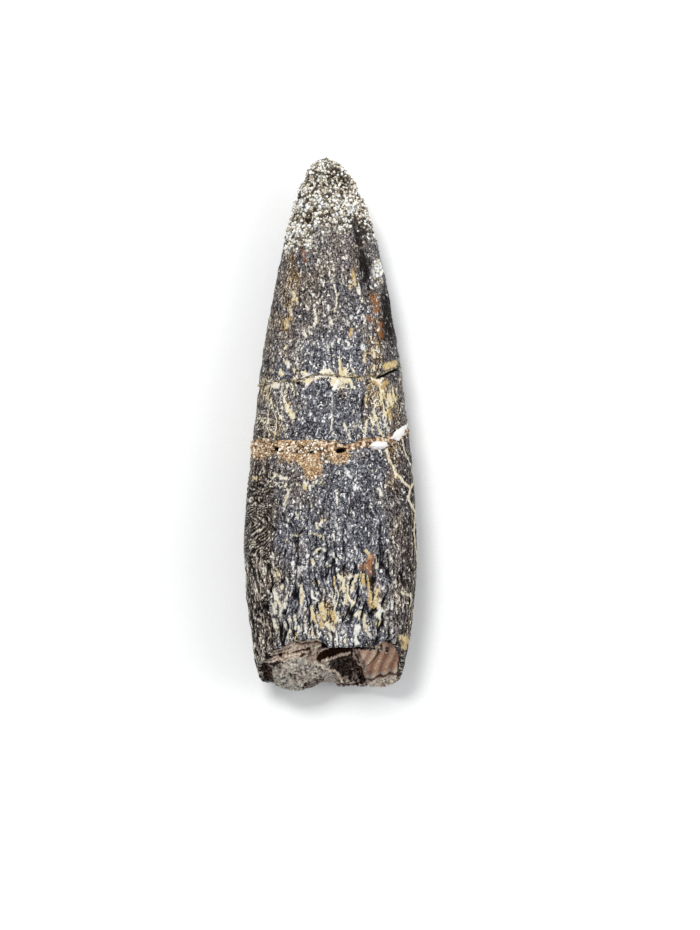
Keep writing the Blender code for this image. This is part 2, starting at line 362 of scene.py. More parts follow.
def rim_station(angle):
    """Station where the crown's wall meets the broken face, chipped by 0.1 to 0.5 mm: the face's station
    at the wall's place, and the wall's place at that station, by turns."""
    station = np.full_like(angle, LIP_EDGE_AT)
    for _ in range(ROUNDS):
        x, z = section(station, angle)
        station = break_station(x, z) + RIM_CHIPS * rough(x, z, 0.0 * x, 0.45, 3, 60)
    return station


FINE_ANGLES = np.linspace(-0.5 * np.pi, 1.5 * np.pi, 4001)
FINE_ARC = np.concatenate([[0.0], np.cumsum(np.hypot(*np.diff(section(RING_AT, FINE_ANGLES))))])
FINE_TURN = FINE_ARC * 2.0 * np.pi / FINE_ARC[-1]
RING_HALF_WIDTH = half_width(RING_AT)
BEAD_STATIONS = np.linspace(0.0, LENGTH, 301)
BEAD_LENGTHS = blend(UPPER_BEAD_LENGTH, LOWER_BEAD_LENGTH, ramp(BEAD_STATIONS, 12.0, 20.0))
BEAD_ROWS = BEAD_STATIONS, np.cumsum(0.1 / BEAD_LENGTHS)


def arc_angles(count, lip_density=1.4, tongue_density=0.65):
    """Columns evenly spaced by arc length, and closer together on the lip side."""
    between = 0.5 * (FINE_ANGLES[1:] + FINE_ANGLES[:-1])
    density = blend(tongue_density, lip_density, ramp(np.sin(between), -0.25, 0.15))
    columns = np.concatenate([[0.0], np.cumsum(np.diff(FINE_ARC) * density)])
    return np.interp(np.arange(count) * columns[-1] / count, columns, FINE_ANGLES)


def arc_at(angle, ways):
    """Way round the section by arc length, from the tongue side's middle, read from the measured ring's
    ways."""
    return np.interp(np.mod(angle + 0.5 * np.pi, 2.0 * np.pi) - 0.5 * np.pi, FINE_ANGLES, ways)


def smooth_crown(station, angle):
    """Points of the crown without its relief."""
    x, z = section(station, angle)
    return np.stack([x, LENGTH / 2.0 - station + 0.0 * x, z], axis=-1)


def outward(station, angle):
    """Unit normals of the smooth crown, from small steps round it and along it."""
    step = 1e-3
    round_it = smooth_crown(station, angle + step) - smooth_crown(station, angle - step)
    along = smooth_crown(station + step, angle) - smooth_crown(np.maximum(station - step, 1e-4), angle)
    normal = np.cross(round_it, along)
    return normal / np.maximum(np.linalg.norm(normal, axis=-1, keepdims=True), 1e-12)


# Mineral marks on the lip side by tone, from 0, bluish white, through 0.4, cream, and 0.7, yellow, to 1, tan:
# half width in pixels, then the pixels that each runs through
FLECKS = {
    0.0: [
        (1.6, (319, 260)), (1.1, (324, 311)), (0.9, (345, 348), (352, 347)), (1.4, (354, 485), (355, 489)),
        (1.0, (392, 630)),
    ],
    0.1: [
        (1.2, (328, 263)), (1.0, (362, 345), (363, 350)), (1.0, (358, 488)),
        (1.0, (346, 470), (349, 475), (351, 478)), (1.2, (306, 557), (309, 555)),
        (1.2, (297, 626), (300, 632)), (1.5, (392, 601), (393, 608)), (1.5, (403, 661)),
    ],
    0.2: [
        (1.1, (328, 305), (329, 311)), (1.0, (352, 315), (352, 318)), (1.2, (356, 317)), (1.0, (359, 312)),
        (1.1, (333, 340), (333, 346)), (1.0, (337, 337), (339, 340)), (2.8, (336, 382), (335, 388)),
        (0.9, (336, 515), (336, 521), (338, 530), (339, 535)), (1.7, (316, 541)),
        (1.2, (298, 568), (299, 573)), (1.3, (293, 563)), (1.0, (273, 562), (274, 568)),
        (0.9, (261, 563), (266, 570)), (1.4, (336, 632), (337, 644)),
        (2.8, (357, 627), (356, 634), (357, 643)), (1.2, (404, 667)),
    ],
    0.3: [
        (1.4, (311, 292), (313, 296)), (1.8, (359, 286), (359, 291)), (1.0, (315, 305)),
        (1.3, (363, 316), (366, 319)), (1.8, (314, 343)), (1.2, (323, 349)), (1.2, (346, 342), (348, 344)),
        (1.2, (302, 350)), (1.1, (312, 352), (312, 355)), (1.2, (318, 354)),
        (0.8, (300, 379), (305, 375), (313, 373)),
        (0.6, (331, 392), (332, 400), (331, 412), (332, 425), (331, 431)), (1.2, (386, 424), (390, 432)),
        (1.2, (305, 402)), (1.0, (300, 408)), (1.1, (304, 481), (305, 484)), (1.0, (311, 484), (311, 490)),
        (1.0, (317, 480)), (0.8, (336, 503), (338, 508)), (1.1, (332, 534), (335, 540)), (1.1, (363, 486)),
        (1.2, (312, 548)), (1.0, (320, 555), (323, 559)), (1.1, (334, 555), (336, 561)),
        (1.2, (268, 590), (271, 596)), (1.3, (311, 592), (313, 597), (317, 601)),
        (1.0, (321, 590), (318, 593)), (1.4, (269, 598), (269, 605)), (1.1, (268, 610), (267, 618)),
        (1.0, (278, 632), (277, 639)), (1.3, (304, 607), (306, 610)), (1.0, (304, 617), (303, 623)),
        (1.1, (306, 627), (307, 635)), (1.0, (331, 636), (330, 642)), (1.5, (347, 645)),
        (3.0, (379, 608), (382, 612), (379, 616)),
    ],
    0.4: [
        (1.2, (333, 280), (335, 290), (336, 296)), (1.3, (337, 299), (337, 307)),
        (1.4, (314, 310), (316, 317), (317, 322)), (1.1, (330, 319), (332, 325)),
        (0.9, (322, 266), (323, 272)), (0.9, (322, 279), (324, 285)), (0.8, (330, 270), (330, 276)),
        (1.6, (333, 268)), (1.2, (343, 269)), (1.6, (306, 251)), (1.6, (286, 250)),
        (1.0, (343, 281), (344, 284)), (1.4, (290, 309), (292, 314)), (1.3, (308, 309)),
        (1.4, (347, 321), (349, 325)), (1.6, (304, 331), (305, 336)), (1.6, (291, 340)), (1.6, (296, 344)),
        (1.4, (327, 345), (328, 350)), (1.7, (287, 362), (288, 367)), (3.4, (270, 384), (276, 385)),
        (1.3, (283, 381), (281, 392)), (1.1, (352, 368), (354, 374)),
        (1.2, (345, 424), (347, 432), (350, 438)), (1.0, (358, 425), (362, 431)),
        (0.8, (352, 424), (357, 426)), (1.3, (262, 420)), (1.2, (277, 484)), (1.1, (336, 492), (337, 500)),
        (1.2, (317, 522), (318, 528)), (1.0, (322, 518), (321, 524)), (0.9, (296, 512), (297, 518)),
        (0.9, (287, 516), (288, 521)), (0.9, (378, 489), (382, 495)), (1.4, (396, 526)), (1.2, (336, 588)),
        (1.7, (275, 590), (277, 598), (280, 604)), (1.4, (395, 582)), (1.7, (274, 604), (275, 614)),
        (1.5, (274, 621), (276, 627)),
        (1.3, (281, 604), (281, 612), (282, 620), (286, 627), (288, 632), (288, 640)),
        (1.5, (286, 600), (285, 608)), (1.4, (290, 616), (290, 624), (291, 631)),
        (1.3, (295, 615), (296, 622), (295, 628)), (1.0, (314, 620), (317, 627), (318, 634)),
        (1.6, (337, 612), (338, 622)), (1.4, (333, 600), (331, 606)), (1.3, (344, 632)),
        (2.2, (355, 616), (361, 612), (360, 617)),
    ],
    0.5: [
        (1.8, (336, 311)), (1.2, (294, 250)), (1.6, (292, 304)), (1.2, (270, 319)),
        (1.6, (339, 357), (340, 364)), (1.7, (373, 350), (374, 356)), (2.6, (281, 373)),
        (2.2, (331, 372), (336, 384)), (3.0, (342, 378), (348, 381)), (2.0, (350, 379), (353, 387)),
        (1.8, (340, 368), (342, 374)), (1.1, (368, 420), (366, 432)), (1.0, (372, 428), (374, 434)),
        (1.0, (377, 424), (384, 436)), (1.0, (355, 410), (353, 416)), (2.8, (289, 410), (292, 417)),
        (1.7, (298, 418)), (1.8, (283, 429)), (1.4, (333, 434)), (2.4, (281, 477), (285, 478)),
        (1.1, (276, 474), (272, 478)), (1.3, (294, 470)),
        (1.4, (285, 486), (288, 490), (286, 497), (285, 505)), (1.0, (310, 501), (311, 506)),
        (1.9, (316, 552), (322, 549), (326, 550)), (2.2, (312, 560), (314, 564)),
        (3.0, (340, 576), (343, 580), (343, 589)), (2.2, (350, 576), (357, 577), (354, 583), (352, 590)),
        (1.3, (376, 556), (378, 564), (376, 569)), (1.4, (346, 594), (350, 601)),
        (1.1, (283, 585), (282, 589)), (2.1, (300, 587), (302, 595), (302, 603)),
        (1.2, (318, 581), (318, 588)), (1.3, (402, 593), (408, 594)), (2.1, (317, 638)),
        (2.9, (328, 624), (333, 629)), (1.3, (387, 612)), (1.0, (410, 595), (411, 600), (410, 606)),
    ],
    0.6: [
        (2.0, (294, 292), (294, 296)), (1.4, (297, 298), (297, 304)), (2.3, (286, 347)),
        (1.5, (375, 365), (374, 370)), (1.4, (325, 374), (330, 376)), (1.3, (316, 378), (308, 381)),
        (1.5, (374, 412), (376, 420)),
        (0.6, (284, 543), (291, 538), (297, 535), (304, 534), (313, 533), (320, 537), (328, 541)),
        (2.2, (330, 566)), (1.7, (365, 617), (366, 627)), (1.5, (366, 631), (371, 635)),
    ],
    0.7: [
        (1.1, (349, 284), (350, 289)), (1.5, (286, 321), (287, 328)), (1.3, (282, 324)),
        (1.4, (365, 352), (364, 362)), (1.1, (270, 371)), (1.2, (366, 397), (366, 405)),
        (1.1, (381, 398), (378, 405)), (1.7, (366, 550), (370, 556)),
        (2.0, (376, 590), (376, 600), (375, 606)), (3.0, (322, 604), (323, 612), (324, 618)),
    ],
    0.8: [
        (1.6, (353, 272), (354, 283)), (1.1, (334, 354)), (3.4, (386, 366), (394, 364)), (1.4, (289, 404)),
        (2.1, (255, 478), (257, 478)), (1.0, (388, 482), (391, 484)), (1.0, (372, 470)),
        (1.3, (334, 578), (334, 585)), (2.0, (362, 575), (364, 585)),
        (1.7, (318, 616), (321, 621), (322, 627)), (1.0, (345, 612), (344, 620)),
        (3.0, (402, 638), (406, 638), (404, 648)),
    ],
    0.9: [
        (1.5, (351, 330), (351, 335)), (2.0, (355, 376), (361, 379)), (2.0, (389, 412), (391, 417)),
        (1.4, (391, 534)), (1.6, (368, 580), (369, 590), (371, 600), (374, 604)),
        (2.4, (369, 600), (373, 606)), (2.8, (331, 613), (334, 618)),
    ],
    1.0: [
        (2.4, (383, 386), (386, 382)), (1.3, (372, 382), (378, 384)),
    ],
}
# Rust stains, holes and cracks that are sunk and painted black as shade in them, and filled cracks, each by
# its half width and its pixels too
STAINS = [
    (2.6, (371, 556), (370, 562), (364, 567)), (1.6, (370, 567), (371, 574)), (2.2, (375, 297), (377, 310)),
    (1.8, (368, 317), (370, 320)), (2.0, (380, 324), (381, 335)), (0.9, (304, 254), (305, 260)),
]
HOLE_SHADE_MARKS = [
    (1.5, (378, 377), (385, 375), (392, 371), (398, 369)), (2.2, (297, 382)), (1.4, (371, 374)),
    (0.8, (364, 390), (364, 398), (362, 410), (364, 424)), (0.8, (372.5, 604)),
    (2.4, (389, 640), (391, 641)), (0.4, (278, 491), (272, 503), (268, 512), (257, 525)),
    (0.9, (268, 425), (272, 425)),
]
CRACK_FILLS = [
    (1.5, (386, 446), (387, 450), (389, 459), (396, 473), (404, 483), (410, 488)),
    (2.0, (410, 488), (408, 498), (411, 505), (415, 513)),
    (1.3, (415, 513), (414, 530), (415, 546), (417, 564), (418, 577), (417, 588)),
    (1.1, (402, 438), (405, 454), (411, 467), (414, 480), (411, 487)),
]
# Soft spots by pixel and radius: light clusters in the crust, ochre, zones with much pale mineral, and
# hollows, sunk and painted darker as shade
TIP_CLUSTERS = [
    (337, 195, 6), (353, 207, 6), (319, 203, 6), (316, 226, 6), (324, 176, 5), (297, 232, 7), (294, 205, 5),
    (323, 164, 4), (303, 190, 5), (309, 242, 4), (378, 270, 7), (334, 165, 3),
]
OCHRE_TINTS = [
    (292, 262, 6), (294, 285, 7), (288, 310, 6), (286, 325, 8), (355, 278, 6), (372, 300, 6), (380, 325, 7),
    (372, 345, 7), (376, 370, 9), (384, 392, 8), (372, 405, 9), (392, 420, 7), (342, 380, 7), (394, 455, 7),
    (396, 480, 6), (368, 570, 5), (376, 600, 7), (324, 610, 7), (332, 622, 7), (404, 640, 7), (345, 585, 6),
]
PALE_ZONES = [
    (262, 384, 9), (276, 380, 8), (290, 386, 6), (266, 400, 8), (262, 418, 9), (272, 430, 8), (284, 410, 8),
    (292, 416, 5), (300, 372, 7), (326, 370, 8), (342, 378, 8), (348, 388, 5), (338, 386, 6), (310, 382, 6),
    (372, 384, 8), (384, 392, 8), (374, 402, 9), (386, 412, 9), (372, 420, 8), (384, 430, 9), (396, 400, 7),
    (350, 428, 7), (358, 436, 6), (282, 352, 7), (362, 345, 7), (375, 330, 7), (376, 350, 7), (340, 342, 6),
    (300, 340, 6), (292, 300, 7), (288, 320, 6), (354, 282, 6), (362, 300, 6), (280, 482, 7), (316, 560, 6),
    (318, 377, 5), (306, 378, 5), (332, 381, 5), (345, 372, 6), (356, 377, 5), (323, 373, 5),
]
DUST_SPOTS = [(1.1, 313, 470, 9), (0.8, 339, 457, 8), (0.7, 256, 452, 9)]  # amount, pixel, radius
PALE_SPOTS = [  # amount, then middle and reach in mm across the crown and along it
    (0.75, -3.1, 1.0, 14.4, 1.4), (0.75, 2.7, 1.1, 14.2, 1.7), (0.25, 1.9, 0.7, 10.4, 1.6),
]
TIP_HOLLOWS = [
    (304, 178, 6), (332, 171, 5), (343, 183, 6), (362, 236, 6), (352, 238, 7), (308, 219, 5), (294, 213, 4),
]


# Broken face: lightness from 0, black, to 1, cream; warmth from 0, grey, to 1, red-brown; depth in mm under
# the slope; then a zone's outline in pixels, or a line's half width and its pixels. Lightness is the face's
# own tone
# and painted light: its darkest zones and lines, sunk into it, are painted shade (the undercut under the
# enamel lip, the black facet, the cavity, the hole, the dome's lower right, the creases), and light raised
# lines are painted highlights.
FACE_ZONES = [
    (0.7, 0.4, 0.0, (256, 666), (264, 651), (285, 643), (318, 636), (322, 647), (306, 652), (290, 661),
     (262, 665)),
    (0.52, 1.0, 0.04, (352, 643), (384, 640), (402, 650), (404, 672), (385, 674), (368, 680), (352, 664)),
    (0.68, 0.95, 0.0, (353, 647), (376, 647), (378, 655), (366, 667), (360, 664)),
    (0.4, 0.5, 0.06, (346, 652), (358, 650), (368, 668), (370, 678), (358, 680), (352, 666)),
    (0.15, 0.3, 0.13, (329, 662), (350, 656), (357, 668), (360, 679), (345, 680), (331, 672)),
    (0.6, 0.4, -0.04, (306, 650), (322, 648), (327, 652), (314, 662), (305, 660)),
    (0.07, 0.9, 0.16, (316, 653), (332, 649), (352, 647), (353, 657), (334, 660), (322, 664), (316, 661)),
    (0.01, 0.6, 0.12, (320, 643), (374, 642), (376, 650), (340, 651), (324, 651)),
    (0.02, 0.4, 0.1, (384, 636), (396, 636), (397, 644), (388, 645)),
    (0.26, 0.3, 0.02, (304, 683), (322, 676), (327, 684), (313, 696), (301, 695)),
    (0.14, 0.6, 0.06, (252, 664), (262, 664), (272, 668), (274, 690), (266, 694), (252, 680)),
    (0.37, 0.3, -0.26, (336, 675), (366, 675), (370, 692), (336, 692)),
    (0.6, 0.22, -0.28, (366, 674), (385, 669), (404, 664), (408, 690), (370, 690)),
]
FACE_LINES = [
    (0.82, 0.35, -0.05, 1.2, (322, 663), (330, 660), (340, 657), (350, 655)),
    (0.46, 0.5, -0.02, 0.7, (355, 657), (362, 668), (366, 676)),
    (0.14, 0.6, 0.04, 0.9, (352, 659), (358, 668), (361, 677)),
    (0.24, 0.4, -0.02, 0.8, (347, 660), (352, 668), (354, 676)),
    (0.88, 0.35, -0.05, 1.0, (314, 662), (322, 666), (330, 670), (338, 674), (344, 679)),
    (0.8, 0.45, -0.03, 1.0, (314, 661), (319, 655), (322, 651), (328, 650)),
    (0.08, 0.8, 0.08, 1.1, (296, 644), (318, 643), (330, 647)),
    (0.05, 0.5, 0.1, 1.4, (260, 664), (272, 665), (282, 663)), (0.85, 0.6, -0.04, 1.8, (281, 657)),
    (0.85, 0.6, -0.04, 1.8, (290, 655)), (0.9, 0.5, -0.04, 1.6, (300, 655)),
    (0.75, 0.5, 0.0, 0.7, (268, 655), (280, 652), (292, 650), (304, 646)),
    (0.12, 0.7, 0.05, 0.8, (264, 660), (278, 655), (292, 653), (310, 649)),
    (0.7, 1.0, -0.04, 1.3, (392, 650), (388, 658), (386, 668)),
    (0.3, 1.0, 0.05, 1.2, (399, 655), (398, 672)),
    (0.22, 1.0, 0.06, 1.0, (380, 650), (376, 658), (368, 667)),
    (0.72, 1.0, 0.0, 0.8, (384, 646), (380, 656), (376, 668)),
    (0.12, 0.8, 0.05, 0.9, (366, 677), (378, 673), (390, 670), (403, 668)),
    (0.14, 0.8, 0.04, 0.9, (352, 646), (359, 663)), (0.95, 0.4, -0.05, 2.0, (392, 676)),
    (0.95, 0.4, -0.05, 1.8, (399, 678)), (0.8, 0.5, -0.03, 2.2, (380, 680)),
    (0.55, 0.4, -0.03, 0.9, (345, 680), (356, 678), (364, 679)), (0.9, 0.2, -0.02, 1.2, (282, 674)),
    (0.9, 0.2, -0.02, 1.0, (297, 664)), (0.85, 0.5, -0.02, 0.9, (312, 671), (313, 675)),
    (0.1, 0.6, 0.06, 1.2, (360, 668), (364, 677), (352, 681), (342, 679)),
    (0.2, 0.7, 0.04, 1.0, (300, 656), (306, 654)),
]


def nearest_mark(across, down, marks):
    """Way in mm to the edge of the nearest mark, below 0 inside it, and that mark's tone: its edge lies
    half its width from the line through its pixels."""
    way = np.full(across.shape, FAR)
    tone = np.full(across.shape, CREAM)
    for mark_tone, rows in marks.items():
        for half, *path in rows:
            this = (way_to_path(across, down, path) - half) / PIXELS_PER_MM
            tone = np.where(this < way, mark_tone, tone)
            way = np.minimum(way, this)
    return way, tone


def patches(across, down, spots):
    """Sum of soft round spots, each given by its pixel and its radius in pixels."""
    return sum(bell(np.hypot(across - px, down - py), radius) for px, py, radius in spots)


def groove_share(station, angle):
    """Share of the side groove's depth: a bell round the section that fades in and out along the crown."""
    starts, full, still_full, ends = SIDE_GROOVE_STATIONS
    groove = bell(np.degrees(angle) - SIDE_GROOVE_ANGLE, SIDE_GROOVE_HALF_ANGLE)
    return groove * ramp(station, starts, full) * (1.0 - ramp(station, still_full, ends))


def pale_amount(x, station, past_upper):
    """How much pale mineral lies in the pits: a little all over, more low down, in a band above the upper
    break and just below it, and in spots, each a bell across the crown times a bell along it."""
    amount = 0.10 + 0.45 * ramp(station, 21.5, 24.5) * bell(x - 0.4, 3.0) + 0.28 * bell(past_upper - 0.2, 0.4)
    amount = amount + 0.20 * ramp(station, 8.5, 10.0) * (1.0 - ramp(station, 12.5, 13.5))
    for share, spot_x, width, spot_station, length in PALE_SPOTS:
        amount = amount + share * bell(x - spot_x, width) * bell(station - spot_station, length)
    return amount


def way_to_fill(station, angle, drift):
    """Way in mm to the nearest filled crack's edge, on the crown unrolled: way round it against station."""
    arc = arc_at(angle, FINE_ARC) * half_width(station) / RING_HALF_WIDTH + 0.09 * drift
    nearest = np.full(station.shape, 1.0)
    for half, *path in CRACK_FILLS:
        x, path_station = on_lip_side(path)
        out = np.clip((x - middle(path_station)[0]) / half_width(path_station), -1.0, 1.0)
        path_arc = arc_at(np.arccos(np.sign(out) * np.abs(out) ** (0.5 * ROUNDNESS)), FINE_ARC)
        crack = list(zip(path_arc * half_width(path_station) / RING_HALF_WIDTH, path_station))
        this = way_to_path(arc, station, crack) - CRACK_SPREAD * half / PIXELS_PER_MM
        nearest = np.minimum(nearest, this)
    return nearest


def dust_amount(across, down, lip, to_lower):
    """How much sand clings: a bell below the lower break and soft spots there on the lip side, and a
    narrow band along the break on the tongue side."""
    dust = bell(across - 305, 34) * bell(np.maximum(down - 452, 0), 12)
    for share, px, py, radius in DUST_SPOTS:
        dust = dust + share * bell(np.hypot(across - px, down - py), radius)
    return dust * lip * (down > 440) + 0.45 * (1.0 - lip) * bell(to_lower, 0.3)


def enamel_relief(station, angle):
    """Height over the smooth crown and the masks that colour it, by name.

    Wrinkles are gradient noise on a cylinder of 84 ridges, so that they follow the crown and tighten to
    its tip; grains ride on them. The left flank's wrinkles run across it. The tip is worn down to a
    sugary crust."""
    x, z = section(station, angle)
    lip = ramp(np.sin(angle), 0.0, 0.2)
    seen = lip > 0.5
    across, down = pixels_at(x, station, z)
    past_upper = station - along_line(UPPER_BREAK_LINE, x)
    past_lower = station - along_line(LOWER_TOP_LINE, x)

    # Noise that the rest is mixed from: ridges, furrows, beads on them, specks, and patches without an edge
    turn = arc_at(angle, FINE_TURN)
    bend = 0.045 * noise(2.5 * np.cos(turn), 2.5 * np.sin(turn), station / 1.1, 1)
    bend = bend + 0.02 * noise(9.0 * np.cos(turn), 9.0 * np.sin(turn), station / 0.5, 16)
    ring = WRINKLES_ROUND / (2.0 * np.pi)
    gx, gz = ring * np.cos(turn + bend), ring * np.sin(turn + bend)
    coarse = noise(gx, gz, station / WRINKLE_LENGTH, 2)
    line = noise(0.9 * gx, 0.9 * gz, station / FURROW_LENGTH, 17)
    fine = noise(2.0 * gx, 2.0 * gz, station / FINE_LENGTH, 3)
    sway = 0.9 * noise(0.8 * gx, 0.8 * gz, station / 0.3, 25)
    shift = 0.8 * noise(gx, gz, station / 0.35, 26)
    rows = np.interp(station, *BEAD_ROWS)
    bead, seam, own = grains(BEADS_A_WRINKLE * gx + sway, BEADS_A_WRINKLE * gz + shift, rows + sway, 1)
    speck, _, speck_own = grains(x / SPECK_WIDTH, station / SPECK_LENGTH, z / SPECK_WIDTH, 2)
    patch = rough(x, station, z, PATCH_SIZE, 2, 5)
    ragged = noise(x / 0.6, station / 0.45, z / 0.6, 19)

    # Where it changes along the crown: striae low on it and on both flanks, and wrinkles across the left one
    low = ramp(station, 17.0, 24.0)
    left = ramp(-x + 0.45 * ragged, 3.1, 4.0) * ramp(station + 1.2 * ragged, 15.6, 18.0)
    flank = np.maximum(left, ramp(x, 4.2, 4.7) * ramp(station, 18.0, 20.0))
    across_it = left * ramp(station, 17.4, 18.2) * (1.0 - ramp(station, 21.8, 22.8))
    striae = np.clip(low + flank, 0.0, 1.0)

    # Wrinkles: low ridges, a furrow where the line noise crosses 0, and a bead with its seam on every grain
    furrow = 1.0 - ramp(np.abs(line), 0.015, 0.10 + 0.07 * striae)
    pit = 1.0 - ramp(np.abs(coarse - 0.1), 0.04, 0.22)
    height = 0.02 * (0.3 + striae) * coarse - (0.014 + 0.08 * striae) * furrow + 0.008 * fine
    beads = BEAD_HEIGHT * (bead - 0.5) - 0.014 * seam
    height += beads * (1.0 - 0.3 * striae) + SPECK_HEIGHT * (speck - 0.5)
    height += 0.05 * rough(x, station, z, 0.75, 2, 24) * ramp(np.abs(np.cos(angle)), 0.6, 0.9)
    tilt = 0.75 * ramp(station, 19.0, 20.6)
    whorl = (station + tilt * x + 0.22 * noise(x / 0.6, station / 0.5, z / 0.6, 6)) / WHORL_PERIOD
    whorl = np.sin(2.0 * np.pi * whorl)
    height = blend(height, WHORL_HEIGHT * whorl + 0.05 * bead, across_it)
    # Painted shade: seams, furrows and whorl troughs, painted near black in the material
    painted_valley_shade = blend(0.25 * seam + furrow * (0.4 + 0.6 * striae), 0.5 - 0.5 * whorl, across_it)

    groove = groove_share(station, angle)
    height -= SIDE_GROOVE_DEPTH * groove

    # Crust on the worn tip: nuggets on lumps, with hollows among them, up to a ragged edge
    crust_edge = station + 0.8 * rough(x, station, z, 0.9, 3, 8) + 0.5 * (own - 0.5)
    crust = 1.0 - ramp(crust_edge - 0.6 * ramp(-x, 0.5, 1.6) * lip, *CRUST_ENDS)
    right_crust = bell(np.hypot((across - 378) / 6.0, (down - 272) / 16.0), 1.0)
    crust = np.maximum(crust, lip * ramp(right_crust, 0.25, 0.7))
    bare = 1.0 - crust
    nugget, nugget_seam, nugget_own = grains(x / NUGGET_SIZE, station / NUGGET_SIZE, z / NUGGET_SIZE, 3)
    hollows = patches(across, down, TIP_HOLLOWS) * lip
    crusty = 0.13 * rough(x, station, z, 0.8, 3, 9) + 0.07 * (nugget - 0.5) * (0.4 + nugget_own)
    height = blend(height, crusty - 0.03 * nugget_seam - 0.16 * hollows, crust)

    # Crown's slow unevenness, the sunken middle piece, and edges chipped along both breaks
    height += 0.05 * rough(x, station, z, 2.6, 2, 12) * ramp(station, 2.0, 6.0)
    height -= MIDDLE_STEP * ramp(past_upper, -0.05, 0.1) * (1.0 - ramp(past_lower, -0.05, 0.1))
    to_lower = np.minimum(np.abs(past_lower), np.abs(station - along_line(LOWER_FOOT_LINE, x)))
    chips = np.maximum(0.3 + rough(x, station, z, 0.5, 2, 14), 0.0)
    height -= 0.05 * chips * bell(np.abs(past_upper), 0.09) + 0.09 * chips * bell(to_lower, 0.13)

    # Pale mineral in the pits, and as worm-like threads in its own zones
    amount = pale_amount(x, station, past_upper) * bare
    scatter = pit + 0.45 * patch + 0.2 * fine + 0.3 * (own - 0.5)
    worm = 1.0 - ramp(np.abs(noise(x / 0.26, station / 0.34, z / 0.26, 27)), 0.03, 0.13)
    zone = patches(across, down, PALE_ZONES) * lip * bare
    matrix = np.maximum(scatter - (1.55 - amount), 0.45 * worm + 0.7 * zone + 0.3 * (own - 0.5) - 0.92)
    tone = 0.4 + 0.25 * patch + 0.35 * (own - 0.5) + 0.3 * bell(x + 2.1, 0.5) * bell(station - 8.0, 3.0)

    # Drawn marks, read at a place that drifts by a pixel or two so that their edges wander
    drift = noise(x / 0.35, station / 0.45, z / 0.35, 21)
    drift_x = across + 1.5 * drift
    drift_y = down + 2.2 * noise(x / 0.35, station / 0.45, z / 0.35, 22)
    fleck_way, fleck_tone = nearest_mark(drift_x, drift_y, FLECKS)
    fleck_way = fleck_way + 0.08 * (own - 0.5) + 0.05 * (speck_own - 0.5) - 0.03 * (pit - 0.4)
    fleck_way = np.where(seen, fleck_way + 0.03 * seam - 0.01 + 0.055 * furrow * striae, 1.0)
    fill_way = way_to_fill(station, angle, drift) + 0.04 * (speck_own - 0.5)
    stain_way = nearest_mark(drift_x, drift_y, {CREAM: STAINS})[0] + 0.15 * (speck_own - 0.5)
    stain_way = np.where(seen, stain_way, 1.0)
    # Holes, pits and cracks: sunk, and painted black in the material as shade in them
    hole_shade_way = np.where(seen, nearest_mark(across, down, {CREAM: HOLE_SHADE_MARKS})[0], 1.0)
    height -= 0.22 * (1.0 - ramp(hole_shade_way, -0.05, 0.05)) * bare
    height = blend(height, 0.02 + 0.02 * fine, 1.0 - ramp(fill_way, -0.03, 0.05))
    filled = 1.0 - ramp(np.minimum(fleck_way, -matrix), -0.05, 0.06)
    height = blend(height, 0.5 * height + 0.008 * (speck - 0.5), filled * 0.6 * bare)

    dust = dust_amount(across, down, lip, to_lower)
    dust = dust + 0.3 * patch + 0.35 * (speck_own - 0.5)
    height += 0.05 * ramp(dust, 0.45, 0.65) * (speck + 0.3)

    # Lightness: a bead's own tone by chance, painted highlights on the tops of beads, specks, crests and
    # whorl ridges, a few painted glints, and painted shade in the seams and down both flanks
    tone_and_painted_light = 0.09 * (own - 0.5) + 0.07 * (bead - 0.5) + 0.07 * (speck - 0.5) - 0.12 * seam + 0.06 * patch
    tone_and_painted_light = tone_and_painted_light + 0.12 * ramp(own, 0.93, 0.97) * ramp(bead, 0.3, 0.7) + 0.08 * ramp(speck_own, 0.93, 0.97)
    crest = 1.0 - ramp(np.abs(noise(gx, gz, station / 1.3, 18)), 0.02, 0.12)
    tone_and_painted_light = tone_and_painted_light + striae * crest * (0.1 + 0.35 * own) * (1.0 - across_it) + 0.01 * low
    tone_and_painted_light = tone_and_painted_light + left * (0.4 * ramp(own, 0.6, 0.75) * ramp(bead, 0.2, 0.6) - 0.08)
    tone_and_painted_light = tone_and_painted_light + across_it * (0.38 * ramp(whorl, 0.3, 0.95) - 0.07)
    tone_and_painted_light = tone_and_painted_light + left * ramp(station, 21.0, 23.0) * (0.5 * crest - 0.16)
    tone_and_painted_light = tone_and_painted_light - 0.12 * ramp(x, 3.6, 4.3) * ramp(station, 15.0, 18.0)
    tone_and_painted_light = tone_and_painted_light - 0.08 * ramp(np.abs(x) / half_width(station), 0.75, 0.95)

    # Hues: brown at the sides, blue-grey in the middle, ochre in spots, and painted shade in and beside the
    # groove
    brown = 0.35 + 0.6 * patch + 0.9 * flank + 0.5 * bell(station - 7.0, 3.0) * bell(x + 0.6, 1.6)
    brown = brown - 0.6 * bell(x - 0.6, 2.2) * ramp(station, 9.0, 12.0) + 0.5 * ramp(np.abs(x), 2.6, 3.6)
    shade = groove + 0.9 * ramp(x, 2.4, 3.0) * bell(station - 8.8, 1.8) + 0.35 * ragged + 0.8 * (own - 0.5)
    ochre = patches(across, down / OCHRE_STRETCH, [(px, py / OCHRE_STRETCH, r) for px, py, r in OCHRE_TINTS])
    ochre = ochre * lip * (0.5 + 0.6 * ragged + 0.9 * (own - 0.5))
    crust_light = nugget_own + 0.02 + 0.5 * patches(across, down, TIP_CLUSTERS) * lip
